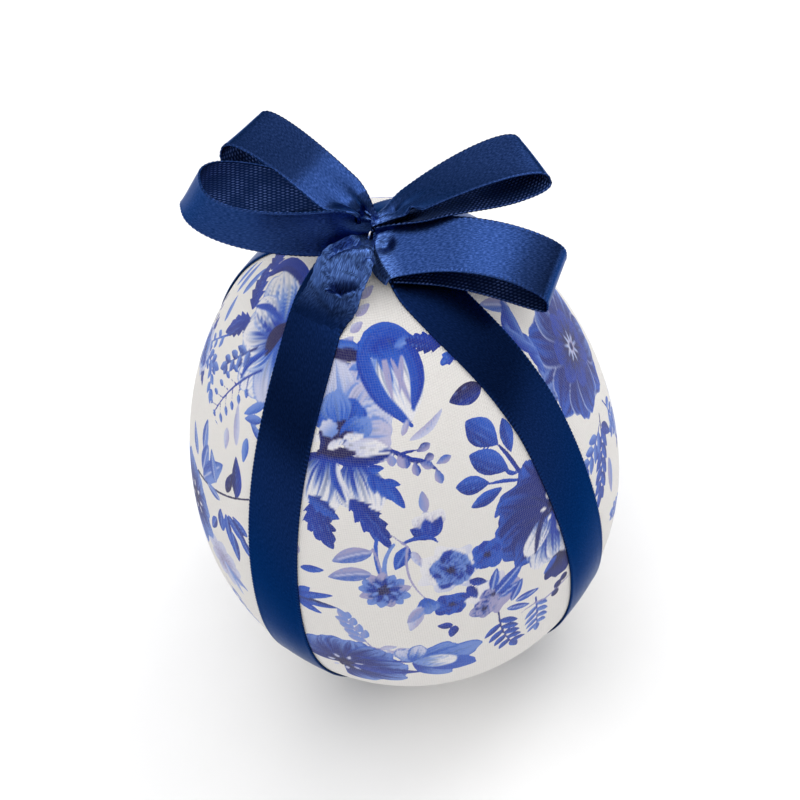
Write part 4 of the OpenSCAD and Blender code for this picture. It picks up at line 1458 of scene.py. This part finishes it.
def right_print(paint):
    """The right gore, whose azimuths are counted from its middle, at 90."""
    big = Patch(paint, -11.6, 34.6)
    rows = ((-60, 13.5, 10), (-95, 12.5, 10), (-25, 13, 10), (10, 12.5, 9.5), (50, 12.5, 9.5),
            (-130, 12.5, 9), (90, 12.5, 9.5), (175, 13, 10), (-155, 12, 8.5), (135, 12.5, 9))
    for i, (turn, length, width) in enumerate(rows):
        petal(big, turn, length, width, DEEP, BLUE if i % 3 else SKY, seed=2 + i, reach=0.8, rim=PALE,
              streaky=1.3)
    for i in range(7):
        petal(big, i * 51 + 10, 7.0, 4.6, NIGHT, ROYAL, seed=i, streaky=1.4)
    for i in range(9):
        leaf(big, i * 40 + 8, 3.0, 0.6, SKY, PALE, seed=i)
    spot(big, 0, 0, 1.2, LILAC, PALE, 0.1)
    spot(big, 0, 0, 0.7, NIGHT, DEEP, 0.1)
    leaves(paint, ((-26, 47.5, -20, 6.0), (-18, 52.5, -30, 6.5), (-6, 55, 10, 7.0), (-30, 55, -60, 5.0)),
           BLUE, LILAC, 2.6, UPWARD, vein=PALE)
    leaves(paint, ((-18.6, 52.4, -98, 5.6), (-18.3, 54.2, -147, 9.3), (-25, 48, -160, 8),
                   (-30, 52, 170, 9)), SKY, ROYAL, 2.4, bend=0.3)
    sprig(Patch(paint, -19.7, 21.0), -139, 13.5, 9, 5.0, 2.0, DEEP, BLUE, 40, seed=2.0)
    sprig(Patch(paint, -21.3, 20.2), -96, 9.5, 7, 4.2, 1.8, ROYAL, SKY, 44, seed=5.0)
    leaf(Patch(paint, -21.3, 19.2), 155, 6.0, 2.2, DEEP, ROYAL)
    sprig(Patch(paint, -14, 20), 165, 14.0, 9, 4.6, 1.8, ROYAL, SKY, 42, seed=3.0)
    leaf(Patch(paint, -24, 12), -165, 8.0, 2.6, SKY, LILAC)


def small_bouquets(paint, places):
    """Round blooms with buds and leaves, to fill what the large bouquets leave bare."""
    for az, s in places:
        patch = Patch(paint, az, s)
        sprig(patch, -50, 9, 7, 3.6, 1.6, ROYAL, SKY, 40, seed=az)
        sprig(patch, 130, 9, 7, 3.2, 1.5, LILAC, PALE, 40, seed=s)
        sprig(patch, 60, 8, 7, 2.4, 1.4, DEEP, LILAC, 48, berries=True, seed=az + s)
        for turn in (-100, 20, 160):
            leaf(patch, turn, 7, 3.6, DEEP, ROYAL, teeth=5, seed=turn)
        for turn in range(0, 360, 45):
            petal(patch, turn, 4.8, 3.0, BLUE, PALE, seed=turn)
        rosette(patch, 0, 0, 3.2, DEEP, ROYAL, SKY, s)


def left_gore(paint):
    left_print(paint)
    paint.place(-115, -1.0)
    small_bouquets(paint, ((-9, 36), (-8, 8), (-2, -18), (-30, -20)))


def right_gore(paint):
    right_print(paint)
    small_bouquets(paint, ((-17, -7), (-4, 7)))
    paint.place(112, 1.0)
    small_bouquets(paint, ((8, 30), (6, 4), (2, -20), (-24, -20)))


def back_gore(paint):
    """The front's bouquets mirrored and lower down, small bouquets and a row of berries near the top."""
    paint.place(180, -1.0, -10.0)
    front_print(paint)
    paint.place(180, -1.0)
    small_bouquets(paint, ((6, -29), (26, -24)))
    for az in (2.0, 7.5, 13, 18.5):
        spot(Patch(paint, az, 55.0), 0, 0, 1.1, BLUE, LILAC)


add_camera()
add_studio()
satin_back = satin_back_material()
ribbon_faces = [satin_material(), satin_back]
# the bands' satin is a darker copy of the ribbon's: painted shade
painted_shade_band_faces = [satin_material("satin_face_bands_painted_shade", None, BAND_DULL_SHADED, BAND_BRIGHT_SHADED, 0.08), satin_back]
# the loops are crushed at their roots, with painted glints there
painted_glint_loop_faces = [satin_material("satin_face_loops_painted_glints", (4.5, 1.0), relief=0.12), satin_back]
# the crumpled end takes the bands' darker copy, painted shade, with painted glints where it is crushed
painted_light_fold_faces = [satin_material("satin_face_crumpled_painted_light", (1.0, 8.0), BAND_DULL_SHADED, BAND_BRIGHT_SHADED), satin_back]
wrap_band("wrap_ribbon_under_band", "wrap_ribbon_under", -45, False, UNDER_DRIFT, painted_shade_band_faces)
wrap_band("wrap_ribbon_over_band", "wrap_ribbon_over", 45, True, OVER_DRIFT, painted_shade_band_faces)
add_gather(ribbon_faces)
add_bow(painted_glint_loop_faces)
add_end_fold(painted_light_fold_faces)
add_wire()
cotton = cotton_material()
for side, turn, motifs in (("front", 0, front_print), ("right", 90, right_gore),
                           ("back", 180, back_gore), ("left", -90, left_gore)):
    cotton_gore("cotton_" + side + "_gore", "cotton_" + side, turn, cotton, motifs)
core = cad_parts["foam_core"]
core.data.materials.clear()
core.data.materials.append(foam_material())
